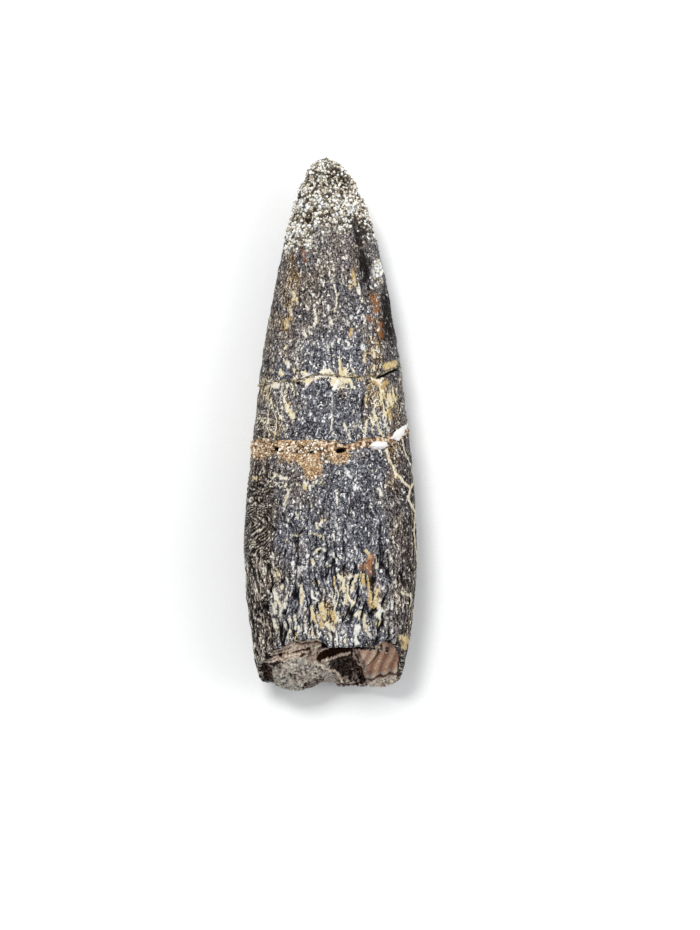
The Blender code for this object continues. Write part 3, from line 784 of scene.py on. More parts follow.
    # Painted shade in the tip's hollows
    crust_light = crust_light - 0.8 * hollows + 0.2 * patch
    ways = {"fleck_way": fleck_way, "fill_way": fill_way, "stain_way": stain_way, "hole_shade_way": hole_shade_way}
    shares = {"painted_valley_shade": painted_valley_shade, "tone": tone, "brown": brown, "ochre": ochre}
    masks = {key: np.clip(way, -WAY_REACH, WAY_REACH) for key, way in ways.items()}
    masks.update({key: np.clip(share, 0.0, 1.0) for key, share in shares.items()})
    masks["painted_valley_shade"] = masks["painted_valley_shade"] * bare
    # The grain mask carries the painted highlights, glints and painted shade above on top of the enamel's own
    # tone; the groove mask is painted shade in and beside the side groove
    masks.update(
        grain=GRAIN_LIGHT - 0.03 * ramp(station, 13.0, 18.0) + tone_and_painted_light, matrix=matrix, fleck_tone=fleck_tone,
        dust=dust, crust=crust, crust_light=crust_light,
        groove=0.9 * ramp(shade, 0.3, 0.7) * (1.0 - 0.6 * crust), seam=nugget_seam)
    return height, masks


def new_object(name, data):
    """An object at the origin, in the scene, that carries the data."""
    new = bpy.data.objects.new(name, data)
    bpy.context.scene.collection.objects.link(new)
    return new


def write_mesh(name, points, faces, material, masks=None, smooth=True):
    """One piece of the tooth: points in mm, faces as rows of corners, and a float attribute for each
    mask."""
    mesh = bpy.data.meshes.new(name)
    mesh.from_pydata((points * MM).tolist(), [], faces if isinstance(faces, list) else faces.tolist())
    for key, values in (masks or {}).items():
        layer = mesh.attributes.new(key, "FLOAT", "POINT")
        layer.data.foreach_set("value", np.asarray(values, np.float32).ravel())
    mesh.polygons.foreach_set("use_smooth", np.full(len(mesh.polygons), smooth))
    mesh.materials.append(material)
    mesh.update()
    piece = new_object(name, mesh)
    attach(piece, "root")
    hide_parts("tooth")


def rolled_faces(rows, columns, poles=True):
    """Corners of a grid that closes round its columns, each face a cell of it: a fan of triangles closes
    it at each pole or, with no poles, its last row is joined to its first."""
    i, j = np.meshgrid(np.arange(rows - 1 if poles else rows), np.arange(columns), indexing="ij")
    below, beside = (i + 1) % rows, (j + 1) % columns
    quads = np.stack([
        i * columns + j, i * columns + beside, below * columns + beside, below * columns + j], axis=-1)
    quads = quads.reshape(-1, 4).tolist()
    if not poles:
        return quads
    j = np.arange(columns)
    beside = (j + 1) % columns
    first, last = rows * columns, rows * columns + 1
    end = (rows - 1) * columns
    start_fan = np.stack([np.full(columns, first), beside, j], axis=-1)
    end_fan = np.stack([np.full(columns, last), end + j, end + beside], axis=-1)
    return quads + start_fan.tolist() + end_fan.tolist()


def crown_grid(stations, angle):
    """Points and masks of a stretch of crown, its relief laid on along the smooth crown's normals."""
    angle = np.broadcast_to(angle, stations.shape)
    height, masks = enamel_relief(stations, angle)
    points = smooth_crown(stations, angle) + outward(stations, angle) * height[..., None]
    return points, masks


def capped(points, masks, towards, depth):
    """Closes the first row, with towards -1, or the last, with 1: the row there is drawn in to its middle
    by each of the cap's shares, and all but the first of them lie depth mm further into the crown."""
    at = -1 if towards > 0 else 0
    ring = points[at]
    centre = ring.mean(axis=0)
    inward = np.array([0.0, towards * depth, 0.0])
    rows = [ring + (centre - ring) * share + inward * (share > CAP_SHARES[0]) for share in CAP_SHARES]
    repeated = {k: np.repeat(v[at][None], len(rows), axis=0) for k, v in masks.items()}
    if towards > 0:
        points = np.concatenate([points, np.stack(rows)])
        masks = {k: np.concatenate([v, repeated[k]]) for k, v in masks.items()}
    else:
        points = np.concatenate([np.stack(rows[::-1]), points])
        masks = {k: np.concatenate([repeated[k], v]) for k, v in masks.items()}
    return points, masks, centre + inward


def write_fragment(name, points, start_pole, end_pole, masks, material, slot):
    """A closed piece from a grid of points and a pole at each end, nothing of it under the floor; a
    pole's mask is the mean of its row's."""
    rows, columns = points.shape[:2]
    flat = np.concatenate([points.reshape(-1, 3), start_pole[None], end_pole[None]])
    flat[:, 2] = np.maximum(flat[:, 2], 0.0)
    spread = {k: np.concatenate([v.ravel(), [v[0].mean(), v[-1].mean()]]) for k, v in masks.items()}
    write_mesh(name, flat, rolled_faces(rows, columns), material, spread)


def linear(colour):
    """Linear colour of an sRGB hex string."""
    channels = [int(colour[k : k + 2], 16) / 255.0 for k in (1, 3, 5)]
    return tuple(c / 12.92 if c <= 0.04045 else ((c + 0.055) / 1.055) ** 2.4 for c in channels) + (1.0,)


def add(tree, kind, links=None, out=0, stops=None, **settings):
    """Adds a node and returns one output: its links are sockets, numbers or hex colours by input, its
    settings are properties, and its stops are a colour ramp's places and colours."""
    node = tree.nodes.new("ShaderNode" + kind)
    for key, value in settings.items():
        setattr(node, key, value)
    for key, value in (links or {}).items():
        if isinstance(value, bpy.types.NodeSocket):
            tree.links.new(value, node.inputs[key])
        else:
            node.inputs[key].default_value = linear(value) if isinstance(value, str) else value
    if stops:
        elements = node.color_ramp.elements
        while len(elements) < len(stops):
            elements.new(0.5)
        for element, (place, colour) in zip(elements, stops):
            element.position, element.color = place, linear(colour)
    return node.outputs[out] if len(node.outputs) else None


def material_tree(name):
    """An empty material and the place of a point on it in millimetres."""
    material = bpy.data.materials.new(name)
    material.use_nodes = True
    tree = material.node_tree
    tree.nodes.clear()
    place = add(tree, "TexCoord", out="Object")
    place = add(tree, "VectorMath", {0: place, "Scale": 1.0 / MM}, operation="SCALE")
    return material, tree, place


def finish_material(tree, colour, roughness, height, depth, **values):
    """Principled surface with a bump of the height's texture, depth in mm; values are uniform sockets."""
    bump = add(tree, "Bump", {"Height": height, "Distance": depth * MM, "Strength": 1.0})
    shader = {"Base Color": colour, "Roughness": roughness, "Normal": bump}
    shader.update({key.replace("_", " "): value for key, value in values.items()})
    surface = add(tree, "BsdfPrincipled", shader)
    add(tree, "OutputMaterial", {0: surface})


# Colours from dark to light
RAMPS = {
    "painted_glints": [(0.0, "#404040"), (0.86, "#808080"), (0.95, "#ffffff")],
    "slate": [
        (0.08, "#141317"), (0.28, "#3f3f45"), (0.47, "#717179"), (0.64, "#97979e"), (0.8, "#cac9ca"),
        (0.97, "#faf7f2")],
    "umber": [
        (0.08, "#130d0b"), (0.28, "#413731"), (0.47, "#746962"), (0.64, "#a09285"), (0.8, "#d5c7b3"),
        (0.97, "#fcf1de")],
    "ochre": [
        (0.05, "#0d0804"), (0.28, "#49331a"), (0.48, "#876437"), (0.66, "#c09a5e"), (0.82, "#e6cb93"),
        (1.0, "#f9efcf")],
    "crust": [
        (0.0, "#231a13"), (0.25, "#4a4036"), (0.45, "#867b6b"), (0.6, "#c8bda6"), (0.75, "#f3edda"),
        (1.0, "#f4f6f4")],
    "dust": [(0.1, "#6b4a2e"), (0.45, "#a27a4e"), (0.7, "#c9a777"), (1.0, "#eddfc0")],
    "mineral": [
        (0.0, "#eaecee"), (0.2, "#f2eee2"), (0.45, "#ece2c8"), (0.7, "#dcc688"), (0.85, "#cbab72"),
        (1.0, "#b58f55")],
    "crack_fill": [(0.0, "#b59a72"), (0.4, "#e2d3b2"), (1.0, "#f6f0e2")],
    "grey_dentine": [
        (0.0, "#040303"), (0.2, "#322d29"), (0.42, "#817b72"), (0.6, "#a89f92"), (0.8, "#d8cdb9"),
        (1.0, "#f5ecd9")],
    "brown_dentine": [
        (0.0, "#070302"), (0.2, "#40261a"), (0.42, "#93674f"), (0.6, "#b98b6d"), (0.8, "#dab596"),
        (1.0, "#f5e3c6")],
    "cream_mineral": [
        (0.0, "#1b1511"), (0.25, "#5c4f40"), (0.45, "#a39478"), (0.7, "#dacdae"), (1.0, "#f0ead8")],
    "sandy_sediment": [
        (0.0, "#140c07"), (0.2, "#5d4431"), (0.38, "#a98a6a"), (0.55, "#dbbe9a"), (0.72, "#f4e4c8"),
        (0.9, "#fdf8ec")],
    "sugary_crust": [
        (0.0, "#15100c"), (0.2, "#4d4032"), (0.42, "#9c8f7a"), (0.62, "#e4dac4"), (0.8, "#fffbf0"),
        (1.0, "#f4f8fc")],
    "loose_sand": [
        (0.0, "#4d3626"), (0.3, "#a58463"), (0.5, "#d6ba95"), (0.72, "#f3e5ca"), (0.9, "#fdf8ec")],
}


def make_enamel():
    """Fossil enamel, phosphate darkened by iron and manganese while it lay in sediment: glossy on its
    ridges, so that they glint, with painted glints and highlights besides, painted shade between them, and
    matt where pale mineral fills its pits."""
    material, tree, place = material_tree("wrinkled_fossil_enamel")
    mask = {name: add(tree, "Attribute", out="Fac", attribute_name=name) for name in ENAMEL_MASKS}

    # Crystals of about 0.1 mm, drawn out along the crown: each has a value, a middle, and noise over them
    # all; a few are painted white as glints, and each is painted darker towards its edge as shade
    grit = add(tree, "TexNoise", {"Vector": place, "Scale": 14.0, "Detail": 2.0, "Roughness": 0.65})
    ragged = add(tree, "Math", {0: grit, 1: 0.5}, operation="SUBTRACT")
    sway = add(tree, "TexNoise", {"Vector": place, "Scale": 5.0, "Detail": 1.0, "Roughness": 0.5}, "Color")
    drawn_out = add(tree, "VectorMath", {0: place, 1: CRYSTALS_PER_MM}, operation="MULTIPLY")
    drawn_out = add(tree, "VectorMath", {0: sway, 1: CRYSTAL_SWAY, 2: drawn_out}, operation="MULTIPLY_ADD")
    crystal_way = add(tree, "TexVoronoi", {"Vector": drawn_out, "Scale": 1.0})
    crystal = add(tree, "SeparateColor", {0: crystal_way.node.outputs["Color"]})
    tone_and_painted_glints = add(tree, "ValToRGB", {0: crystal}, stops=RAMPS["painted_glints"])
    tone_and_painted_glints = add(tree, "MapRange", {0: tone_and_painted_glints, 1: 0.05, 2: 1.0, 3: -0.18, 4: 0.54})
    edge = add(tree, "MapRange", {0: crystal_way, 1: 0.25, 2: 0.8, 3: 0.06, 4: -0.30})
    # The grain mask brings in the relief's painted highlights, glints and painted shade
    light = add(tree, "Math", {0: ragged, 1: 1.15, 2: mask["grain"]}, operation="MULTIPLY_ADD")
    for part in (tone_and_painted_glints, edge):
        light = add(tree, "Math", {0: light, 1: part}, operation="ADD")

    # Bare enamel, blue-grey, brown or ochre by its lightness, with painted shade in its valleys and in and
    # beside its groove
    colour, umber, ochre = [
        add(tree, "ValToRGB", {0: light}, stops=RAMPS[name]) for name in ("slate", "umber", "ochre")]
    crumbs = add(tree, "Math", {0: ragged, 1: 1.0, 2: mask["crust_light"]}, operation="MULTIPLY_ADD")
    crust = add(tree, "ValToRGB", {0: crumbs}, stops=RAMPS["crust"])
    crust = add(tree, "Mix", {0: mask["seam"], 6: crust, 7: "#2b231b"}, 2, data_type="RGBA")
    layers = {"brown": umber, "ochre": ochre, "painted_valley_shade": "#0d0b0d", "groove": "#120e0c", "crust": crust}
    for name, paint in layers.items():
        colour = add(tree, "Mix", {0: mask[name], 6: colour, 7: paint}, 2, data_type="RGBA")

    # What covers it, each with its own colours
    dust_light = add(tree, "Math", {0: ragged, 1: 2.6, 2: 0.5}, operation="MULTIPLY_ADD")
    tone = add(tree, "Math", {0: crystal, 1: 0.5, 2: mask["fleck_tone"]}, operation="MULTIPLY_ADD")
    tone = add(tree, "Math", {0: ragged, 1: 0.9, 2: tone}, operation="MULTIPLY_ADD")
    tone = add(tree, "Math", {0: tone, 1: 0.3}, operation="SUBTRACT")
    dust = add(tree, "ValToRGB", {0: dust_light}, stops=RAMPS["dust"])
    pit_mineral = add(tree, "ValToRGB", {0: mask["tone"]}, stops=RAMPS["mineral"])
    fleck = add(tree, "ValToRGB", {0: tone}, stops=RAMPS["mineral"])
    fill = add(tree, "ValToRGB", {0: crystal}, stops=RAMPS["crack_fill"])
    rust_way = add(tree, "Math", {0: crystal, 1: 0.12, 2: mask["stain_way"]}, operation="MULTIPLY_ADD")
    covers = {  # place, how far noise gnaws at its edge, where it starts and is full, share, colour
        "dust": (mask["dust"], 0.8, 0.48, 0.6, 1.0, dust),
        "pits": (mask["matrix"], 0.9, -0.05, 0.06, 1.0, pit_mineral),
        "fleck": (mask["fleck_way"], 0.16, 0.03, -0.05, 0.95, fleck),
        "fill": (mask["fill_way"], 0.08, 0.03, -0.02, 1.0, fill),
        "rust": (rust_way, 0.6, 0.14, -0.06, 0.75, "#a96a3a"),
        # painted shade: black in the sunk holes, pits and cracks
        "hole": (mask["hole_shade_way"], 0.1, 0.02, -0.04, 1.0, "#0c0a09"),
    }
    shares = {}
    for name, (amount, gnawed, start, full, most, paint) in covers.items():
        amount = add(tree, "Math", {0: ragged, 1: gnawed, 2: amount}, operation="MULTIPLY_ADD")
        shares[name] = add(tree, "MapRange", {0: amount, 1: start, 2: full, 4: most})
        colour = add(tree, "Mix", {0: shares[name], 6: colour, 7: paint}, 2, data_type="RGBA")

    matt = add(tree, "Math", {0: shares["fleck"], 1: mask["crust"]}, operation="MAXIMUM")
    roughness = add(tree, "MapRange", {0: matt, 3: 0.28, 4: 0.6})
    domed = add(tree, "Math", {0: crystal_way, 1: -0.7, 2: grit}, operation="MULTIPLY_ADD")
    hidden = add(tree, "Math", {0: mask["painted_valley_shade"], 1: mask["groove"]}, operation="MAXIMUM")
    open_light = add(tree, "Math", {0: light, 1: hidden}, operation="SUBTRACT")
    gloss = add(tree, "MapRange", {0: open_light, 1: 0.1, 2: 0.8, 3: 0.02, 4: 0.5})
    finish_material(tree, colour, roughness, domed, 0.045, IOR=1.62, Specular_IOR_Level=gloss)
    return material


def make_broken_dentine():
    """Broken dentine, a finer phosphate than enamel, stained by iron: it breaks in flutes and laminae, whose
    facets carry painted highlights and painted black shade one by one over their own tones."""
    material, tree, place = material_tree("broken_fossil_dentine")
    grit = add(tree, "TexNoise", {"Vector": place, "Scale": 13.0, "Detail": 3.0, "Roughness": 0.65})
    light = add(tree, "Attribute", out="Fac", attribute_name="light")
    ragged = add(tree, "MapRange", {0: grit, 1: 0.3, 2: 0.7, 3: 0.65, 4: 1.4})
    light = add(tree, "Math", {0: light, 1: ragged}, operation="MULTIPLY")
    grey = add(tree, "ValToRGB", {0: light}, stops=RAMPS["grey_dentine"])
    brown = add(tree, "ValToRGB", {0: light}, stops=RAMPS["brown_dentine"])
    warmth = add(tree, "Attribute", out="Fac", attribute_name="warmth")
    colour = add(tree, "Mix", {0: warmth, 6: grey, 7: brown}, 2, data_type="RGBA")
    gloss = add(tree, "MapRange", {0: light, 1: 0.1, 2: 0.6, 3: 0.0, 4: 0.4})
    finish_material(tree, colour, 0.36, grit, 0.03, IOR=1.6, Specular_IOR_Level=gloss)
    return material


def make_granular(name, size, roughness):
    """Sediment or vein mineral, grains of one size in mm cemented together as water seeped through: each
    has its own colour, the seams between them are darker, and its holes are painted dark as shade."""
    material, tree, place = material_tree(name)
    cell_way = add(tree, "TexVoronoi", {"Vector": place, "Scale": 1.0 / size})
    own = add(tree, "SeparateColor", {0: cell_way.node.outputs["Color"]})
    soft = add(tree, "TexNoise", {"Vector": place, "Scale": 0.35 / size, "Detail": 3.0, "Roughness": 0.6})
    # The hole mask paints the sunk holes dark, as painted shade in them
    dark = add(tree, "Attribute", out="Fac", attribute_name="hole")
    light = add(tree, "Math", {0: soft, 1: 1.2, 2: -0.35}, operation="MULTIPLY_ADD")
    for part, amount in ((own, 0.55), (cell_way, -0.35), (dark, -1.0)):
        light = add(tree, "Math", {0: part, 1: amount, 2: light}, operation="MULTIPLY_ADD")
    colour = add(tree, "ValToRGB", {0: light}, stops=RAMPS[name])
    finish_material(tree, colour, roughness, cell_way, 0.05)
    return material


def make_grain_coat(name, roughness):
    """Loose grains of mineral or sand, each of one colour with a little mottling, as they broke."""
    material, tree, place = material_tree(name)
    grit = add(tree, "TexNoise", {"Vector": place, "Scale": 12.0, "Detail": 2.0, "Roughness": 0.6})
    own = add(tree, "Attribute", out="Fac", attribute_name="own")
    ragged = add(tree, "Math", {0: grit, 1: 0.5}, operation="SUBTRACT")
    light = add(tree, "Math", {0: ragged, 1: 0.7, 2: own}, operation="MULTIPLY_ADD")
    colour = add(tree, "ValToRGB", {0: light}, stops=RAMPS[name])
    finish_material(tree, colour, roughness, grit, 0.02, IOR=1.55)
    return material


def plain(name, colour, roughness):
    """One colour with a fine tooth: dense white calcite that filled a hole, or the floor's matt board."""
    material, tree, place = material_tree(name)
    grit = add(tree, "TexNoise", {"Vector": place, "Scale": 8.0, "Detail": 3.0, "Roughness": 0.6})
    finish_material(tree, colour, roughness, grit, 0.02)
    return material


def make_camera():
    """Looks straight down on the tooth, its tip at the top of the picture."""
    data = bpy.data.cameras.new("camera")
    data.lens = LENS
    data.sensor_width = SENSOR
    data.clip_start = 0.001
    camera = new_object("camera", data)
    camera.location = (CAMERA_X * MM, CAMERA_Y * MM, (FOCUS_HEIGHT + CAMERA_RANGE) * MM)
    bpy.context.scene.camera = camera


def make_light(name, place, size, power):
    """A square soft light that faces the tooth."""
    data = bpy.data.lights.new(name, "AREA")
    data.energy = power
    data.size = size
    light = new_object(name, data)
    light.location = place
    tilt = math.atan2(math.hypot(place[0], place[1]), place[2])
    light.rotation_euler = (tilt, 0.0, math.atan2(place[0], -place[1]))


def make_studio():
    """Soft pale light from all round, a key light over the tip, a weaker one on the right, and a pale
    floor."""
    world = bpy.data.worlds.new("world")
    bpy.context.scene.world = world
    world.use_nodes = True
    world.node_tree.nodes["Background"].inputs["Color"].default_value = (0.95, 0.97, 1.0, 1.0)
    world.node_tree.nodes["Background"].inputs["Strength"].default_value = 0.55
    make_light("key", (-0.07, 0.16, 0.32), size=0.09, power=0.8)
    make_light("fill", (0.25, 0.05, 0.25), size=0.2, power=0.3)
    mesh = bpy.data.meshes.new("floor")
    corners = [(-1, -1), (1, -1), (1, 1), (-1, 1)]
    mesh.from_pydata([(x * FLOOR_REACH, y * FLOOR_REACH, 0.0) for x, y in corners], [], [(0, 1, 2, 3)])
    mesh.materials.append(plain("pale_floor", "#fafaf9", 0.9))
    new_object("floor", mesh)
    bpy.context.scene.view_settings.view_transform = "Standard"


def make_stretch(name, angle, start, end, share, start_depth, end_depth, material):
    """A stretch of crown: its rows go by share from the start line's stations to the end line's, and each
    end is closed at its depth in mm; with no start depth it closes in the crown's tip."""
    points, masks = crown_grid(start + share[:, None] * (end - start), angle)
    centre_x, centre_z = middle(0.0)
    start_pole = np.array([centre_x, LENGTH / 2.0, centre_z])
    if start_depth:
        points, masks, start_pole = capped(points, masks, -1, start_depth)
    points, masks, end_pole = capped(points, masks, 1, end_depth)
    write_fragment(name, points, start_pole, end_pole, masks, material, "fossil_enamel")


def make_crown(material):
    """The crown's three pieces, each from one line round it to the next: the tip, the breaks' lines at
    the x that the section has there, and the broken rim. Rows crowd together at the tip."""
    angle = arc_angles(420)
    end = along_line(UPPER_BREAK_LINE, section(UPPER_BREAK_AT, angle)[0]) - BREAK_GAP
    share = np.linspace(0.0, 1.0, 233)[1:] ** TIP_CROWDING
    make_stretch("crown_tip", angle, TIP_START, end, share, 0.0, 0.5, material)
    angle = arc_angles(520)
    start = along_line(UPPER_BREAK_LINE, section(UPPER_BREAK_AT, angle)[0]) + BREAK_GAP
    end = along_line(LOWER_TOP_LINE, section(LOWER_TOP_AT, angle)[0])
    make_stretch("crown_middle", angle, start, end, np.linspace(0.0, 1.0, 88), 0.5, 0.5, material)
    angle = arc_angles(490)
    start = along_line(LOWER_FOOT_LINE, section(LOWER_FOOT_AT, angle)[0])
    share = np.linspace(0.0, 1.0, 192)
    make_stretch("crown_lower", angle, start, rim_station(angle), share, 0.5, 1.0, material)


def dentine_face(x, z):
    """Station of the broken dentine and its masks: the slope with zones sunk into it, lines along their
    edges, flutes in the brown part, laminae along the enamel and chips on all of it. Its light mask holds
    painted shade in the dark sunk zones and creases and painted highlights on raised lines, flutes and
    laminae, over the face's own tones."""
    station = break_station(x, z)
    across, down = pixels_at(x, station, z)
    flat = np.zeros_like(x)
    across = across + 0.8 * noise(x / 0.3, z / 0.6, flat, 70)
    down = down + 0.8 * noise(x / 0.3, z / 0.6, flat, 71)
    grain, seam, own = grains(x / 0.11, z / 0.14, station / 0.11, 72)
    light = 0.54 + 0.12 * rough(x, z, flat, 0.9, 2, 73)
    warmth = 0.04 + 0.15 * rough(x, z, flat, 1.2, 2, 75)
    sunk = 0.0 * x
    # Zones: their own tones, and painted shade in the dark sunk ones
    for zone_light, zone_warmth, depth, *outline in FACE_ZONES:
        way = way_to_outline(across, down, outline)
        share = 1.0 - ramp(way, -0.9, 0.9)
        light, warmth = blend(light, zone_light, share), blend(warmth, zone_warmth, share)
        sunk = blend(sunk, depth, 1.0 - ramp(way, -3.0, 2.5))
    bevel, brown = [1.0 - ramp(way_to_outline(across, down, row[3:]), -1.0, 1.0) for row in FACE_ZONES[:2]]
    brown = brown * ramp(light, 0.3, 0.45)
    # Flutes and laminae: painted highlights where they stand out, painted shade between them
    slant = across + 0.45 * (down - 660.0)
    flute = np.cos(2.0 * np.pi * slant / FLUTE_PIXELS + 0.9 * noise(x / 1.4, z / 2.0, flat, 76))
    light, sunk = light + (0.04 + 0.15 * flute) * brown, sunk - 0.05 * flute * brown
    slant = down + 0.33 * across
    lamina = np.cos(2.0 * np.pi * slant / LAMINA_PIXELS + 1.2 * noise(x / 0.6, z / 0.6, flat, 77))
    light, sunk = light + 0.2 * lamina * bevel, sunk - 0.04 * lamina * bevel
    # Lines along the zones' edges: dark sunk ones are painted shade in creases, light raised ones painted
    # highlights
    for line_light, line_warmth, depth, half, *path in FACE_LINES:
        way = way_to_path(across, down, path)
        share = 1.0 - ramp(way, half - 0.6, half + 0.5)
        light, warmth = blend(light, line_light, 0.85 * share), blend(warmth, line_warmth, share)
        sunk = sunk + depth * (1.0 - ramp(way, half - 1.0, half + 1.5))
    matt = 0.2 + 0.8 * (1.0 - brown)
    mottle = 0.36 * (own - 0.5) - 0.12 * seam + 0.34 * rough(x, z, station, 0.2, 3, 78)
    light = light + matt * mottle * ramp(light, 0.0, 0.35)
    chips = 0.05 * rough(x, z, flat, 0.5, 4, 20) + 0.08 * (grain - 0.5)
    return station - sunk + matt * chips, {"light": light, "warmth": np.clip(warmth, 0.0, 1.0)}


def make_dentine(material, columns=420, rows=150):
    """The broken face: the rim's section drawn in to its middle row by row, each point at the face's
    station, and one row behind the rim that closes it inside the crown."""
    angle = arc_angles(columns, 1.1, 0.9)
    edge_x, edge_z = section(rim_station(angle), angle)
    centre_x, centre_z = middle(LIP_EDGE_AT)
    share = np.linspace(1.0, 0.0, rows + 1)[:-1, None]
    x = centre_x + (edge_x - centre_x) * share * DENTINE_SHARE
    z = centre_z + (edge_z - centre_z) * share * DENTINE_SHARE
    station, masks = dentine_face(x, z)
    front = np.stack([x, LENGTH / 2.0 - np.minimum(station, LENGTH), z], axis=-1)
    back = front[:1] + np.array([0.0, DENTINE_DEPTH, 0.0])
    masks = {k: np.concatenate([v[:1], v]) for k, v in masks.items()}
    poles = back[0].mean(axis=0), front[-1].mean(axis=0)
    points = np.concatenate([back, front])
    write_fragment("broken_dentine", points, *poles, masks, material, "fossil_dentine")


def make_fill(name, top, foot, sink, material, columns=480, rows=18):
    """A ring of sediment in a break: its outer rows span the gap sink mm under the enamel, uneven by
    noise and grains and with two holes, and its inner rows, drawn in by 0.3 of the way to its middle, are
    hidden."""
    angle = arc_angles(columns)
    x = section(LOWER_TOP_AT, angle)[0]
    start, end = along_line(top, x) - 0.05, along_line(foot, x) + 0.05
    stations = start + np.linspace(0.0, 1.0, rows)[:, None] * (end - start)
    angle = np.broadcast_to(angle, stations.shape)
    x, z = section(stations, angle)
    across, down = pixels_at(x, stations, z)
    grain, seam, _ = grains(x / 0.16, stations / 0.16, z / 0.16, 7)
    # Holes: sunk here, and painted dark as shade by the material through the hole mask
    hole = sum(
        bell(np.hypot((across - px) / wide, (down - py) / high), 1.0) for px, py, wide, high in FILL_HOLES)
    hole = ramp(hole, 0.3, 0.8) * (z > 3.0)
    height = -sink + 0.14 * rough(x, stations, z, 0.45, 3, 30) + 0.08 * (grain - 0.5) - 0.03 * seam
    height = height - 0.8 * hole
    outer = smooth_crown(stations, angle) + outward(stations, angle) * height[..., None]
    inner = outer[[-1, 0]]
    inner = inner + (np.array([0.0, 0.0, CORE_HEIGHT]) - inner) * np.array([0.3, 0.0, 0.3])
    points = np.concatenate([outer, inner]).reshape(-1, 3)
    points[:, 2] = np.maximum(points[:, 2], 0.0)
    faces = rolled_faces(rows + 2, columns, poles=False)
    write_mesh(name, points, faces, material, {"hole": np.concatenate([hole, hole[[-1, 0]]])})


def make_mound(name, outline, height, material, rows=14, columns=72):
    """A patch of white mineral that bulges out of the enamel: its outline in pixels, drawn in to its
    middle row by row and raised by 1 minus the square of its share of the outline."""
    corners = np.array(outline + outline[:1], float)
    run = np.concatenate([[0.0], np.cumsum(np.hypot(*np.diff(corners, axis=0).T))])
    steps = np.arange(columns) * run[-1] / columns
    edge = np.stack([np.interp(steps, run, corners[:, k]) for k in (0, 1)], axis=-1)
    share = np.linspace(1.0, 0.0, rows + 1)[:-1, None, None]
    pixels = edge.mean(axis=0) + (edge - edge.mean(axis=0)) * share
    x, station = on_lip_side(pixels.reshape(-1, 2))
    z = side_height(x, station, LIP_SHARE)
    rise = height * (1.0 - share.ravel() ** 2)[:, None].repeat(columns, 1).ravel() - 0.1
    rise = rise + 0.05 * rough(x, station, z, 0.3, 3, 80)
    top = np.stack([x, LENGTH / 2.0 - station, z + rise], axis=-1).reshape(rows, columns, 3)
    foot = top[:1] - np.array([0.0, 0.0, 0.3])
    poles = foot[0].mean(axis=0), top[-1].mean(axis=0)
    write_fragment(name, np.concatenate([foot, top]), *poles, {}, material, "white_mineral")


def make_grains(name, station, angle, size, own, kept, material):
    """Loose grains sunk to half their size in the enamel: one icosahedron of 20 faces each, its corners
    and its three axes stretched by chance, turned by a chance quaternion of unit length."""
    station, angle, size, own = station[kept], angle[kept], size[kept], own[kept]
    turns = np.random.default_rng(SEED + len(station))
    count, golden = len(station), (1.0 + math.sqrt(5.0)) / 2.0
    corners = [(s, t * golden, 0.0) for s in (-1, 1) for t in (-1, 1)]
    corners = np.array([np.roll(c, k) for k in range(3) for c in corners]) / math.hypot(1.0, golden)
    faces = []
    for a, b, c in itertools.permutations(range(12), 3):
        p, q, r = corners[a], corners[b], corners[c]
        near = max(np.linalg.norm(p - q), np.linalg.norm(q - r), np.linalg.norm(r - p)) < 1.1
        if a == min(a, b, c) and near and np.dot(np.cross(q - p, r - p), p) > 0.0:
            faces.append((a, b, c))
    w, i, j, k = np.moveaxis(turns.normal(size=(count, 4)), -1, 0) + 1e-9
    scale = 2.0 / (w * w + i * i + j * j + k * k)
    matrix = np.stack([
        1 - scale * (j * j + k * k), scale * (i * j - k * w), scale * (i * k + j * w),
        scale * (i * j + k * w), 1 - scale * (i * i + k * k), scale * (j * k - i * w),
        scale * (i * k - j * w), scale * (j * k + i * w), 1 - scale * (i * i + j * j)], axis=-1)
    matrix = matrix.reshape(count, 3, 3)
    stretched = corners[None] * turns.uniform(0.65, 1.25, (count, 12, 1))
    stretched = stretched * turns.uniform(0.7, 1.3, (count, 1, 3))
    height = enamel_relief(station, angle)[0]
    place = smooth_crown(station, angle) + outward(station, angle) * height[:, None]
    points = place[:, None] + np.einsum("nij,nkj->nki", matrix, stretched) * size[:, None, None]
    faces = (np.array(faces) + 12 * np.arange(count)[:, None, None]).reshape(-1, 3)
    masks = {"own": np.repeat(own, 12)}
    write_mesh(name, points.reshape(-1, 3), faces, material, masks, smooth=False)


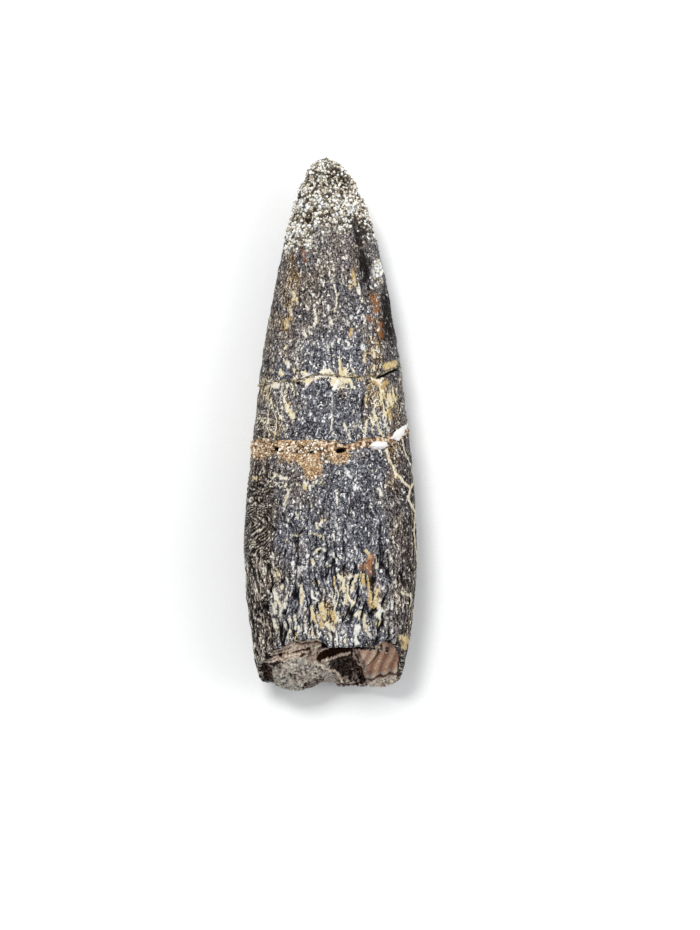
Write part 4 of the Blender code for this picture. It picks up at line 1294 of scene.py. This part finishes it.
def scattered(count, start, end):
    """Stations and angles spread evenly over a stretch of the crown."""
    place = np.random.default_rng(SEED)
    fine = np.linspace(start, end, 400)
    room = np.cumsum(half_width(fine))
    station = np.interp(place.uniform(room[0], room[-1], count), room, fine)
    angle = np.interp(place.uniform(0.0, FINE_ARC[-1], count), FINE_ARC, FINE_ANGLES)
    return station, angle, place.random((3, count))


def make_crust_grains(material):
    """Grains on the worn tip, kept by chance where the crust is thick and the groove mask, with its painted
    shade, is weak;
    most are small."""
    station, angle, chance = scattered(5200, 0.1, 7.5)
    masks = enamel_relief(station, angle)[1]
    kept = masks["crust"] - 0.4 * masks["groove"] > 0.08 + 0.7 * chance[0] ** 0.7
    own = 0.17 + 0.8 * chance[1] + 0.45 * (masks["crust_light"] - 0.4)
    size = 0.04 + 0.065 * chance[2] ** 2
    make_grains("tip_crust_grains", station, angle, size, own, kept, material)


def make_sand(material):
    """Sand grains below the lower break, kept by chance where dust lies, off the larger hole and off the
    floor."""
    station, angle, chance = scattered(9000, 15.6, 18.4)
    masks = enamel_relief(station, angle)[1]
    x, z = section(station, angle)
    across, down = pixels_at(x, station, z)
    off_hole = np.hypot((across - 341) / 8.0, (down - 450) / 5.0) > 1.0
    kept = (masks["dust"] > 0.4 + 0.4 * chance[0]) & off_hole & (z > 0.2)
    size = 0.03 + 0.06 * chance[2] ** 2
    make_grains("sand_grains", station, angle, size, chance[1], kept, material)


make_camera()
make_studio()
make_crown(make_enamel())
make_dentine(make_broken_dentine())
cream = make_granular("cream_mineral", 0.14, 0.75)
sediment = make_granular("sandy_sediment", 0.15, 0.8)
make_fill("upper_break_fill", UPPER_BREAK_LINE, UPPER_BREAK_LINE, 0.0, cream)
make_fill("lower_break_fill", LOWER_TOP_LINE, LOWER_FOOT_LINE, 0.06, sediment)
white = plain("white_mineral", "#f1f0ee", 0.5)
make_mound("white_lens", LENS_OUTLINE, 0.3, white)
make_mound("white_wedge", WEDGE_OUTLINE, 0.25, white)
make_crust_grains(make_grain_coat("sugary_crust", 0.3))
make_sand(make_grain_coat("loose_sand", 0.55))
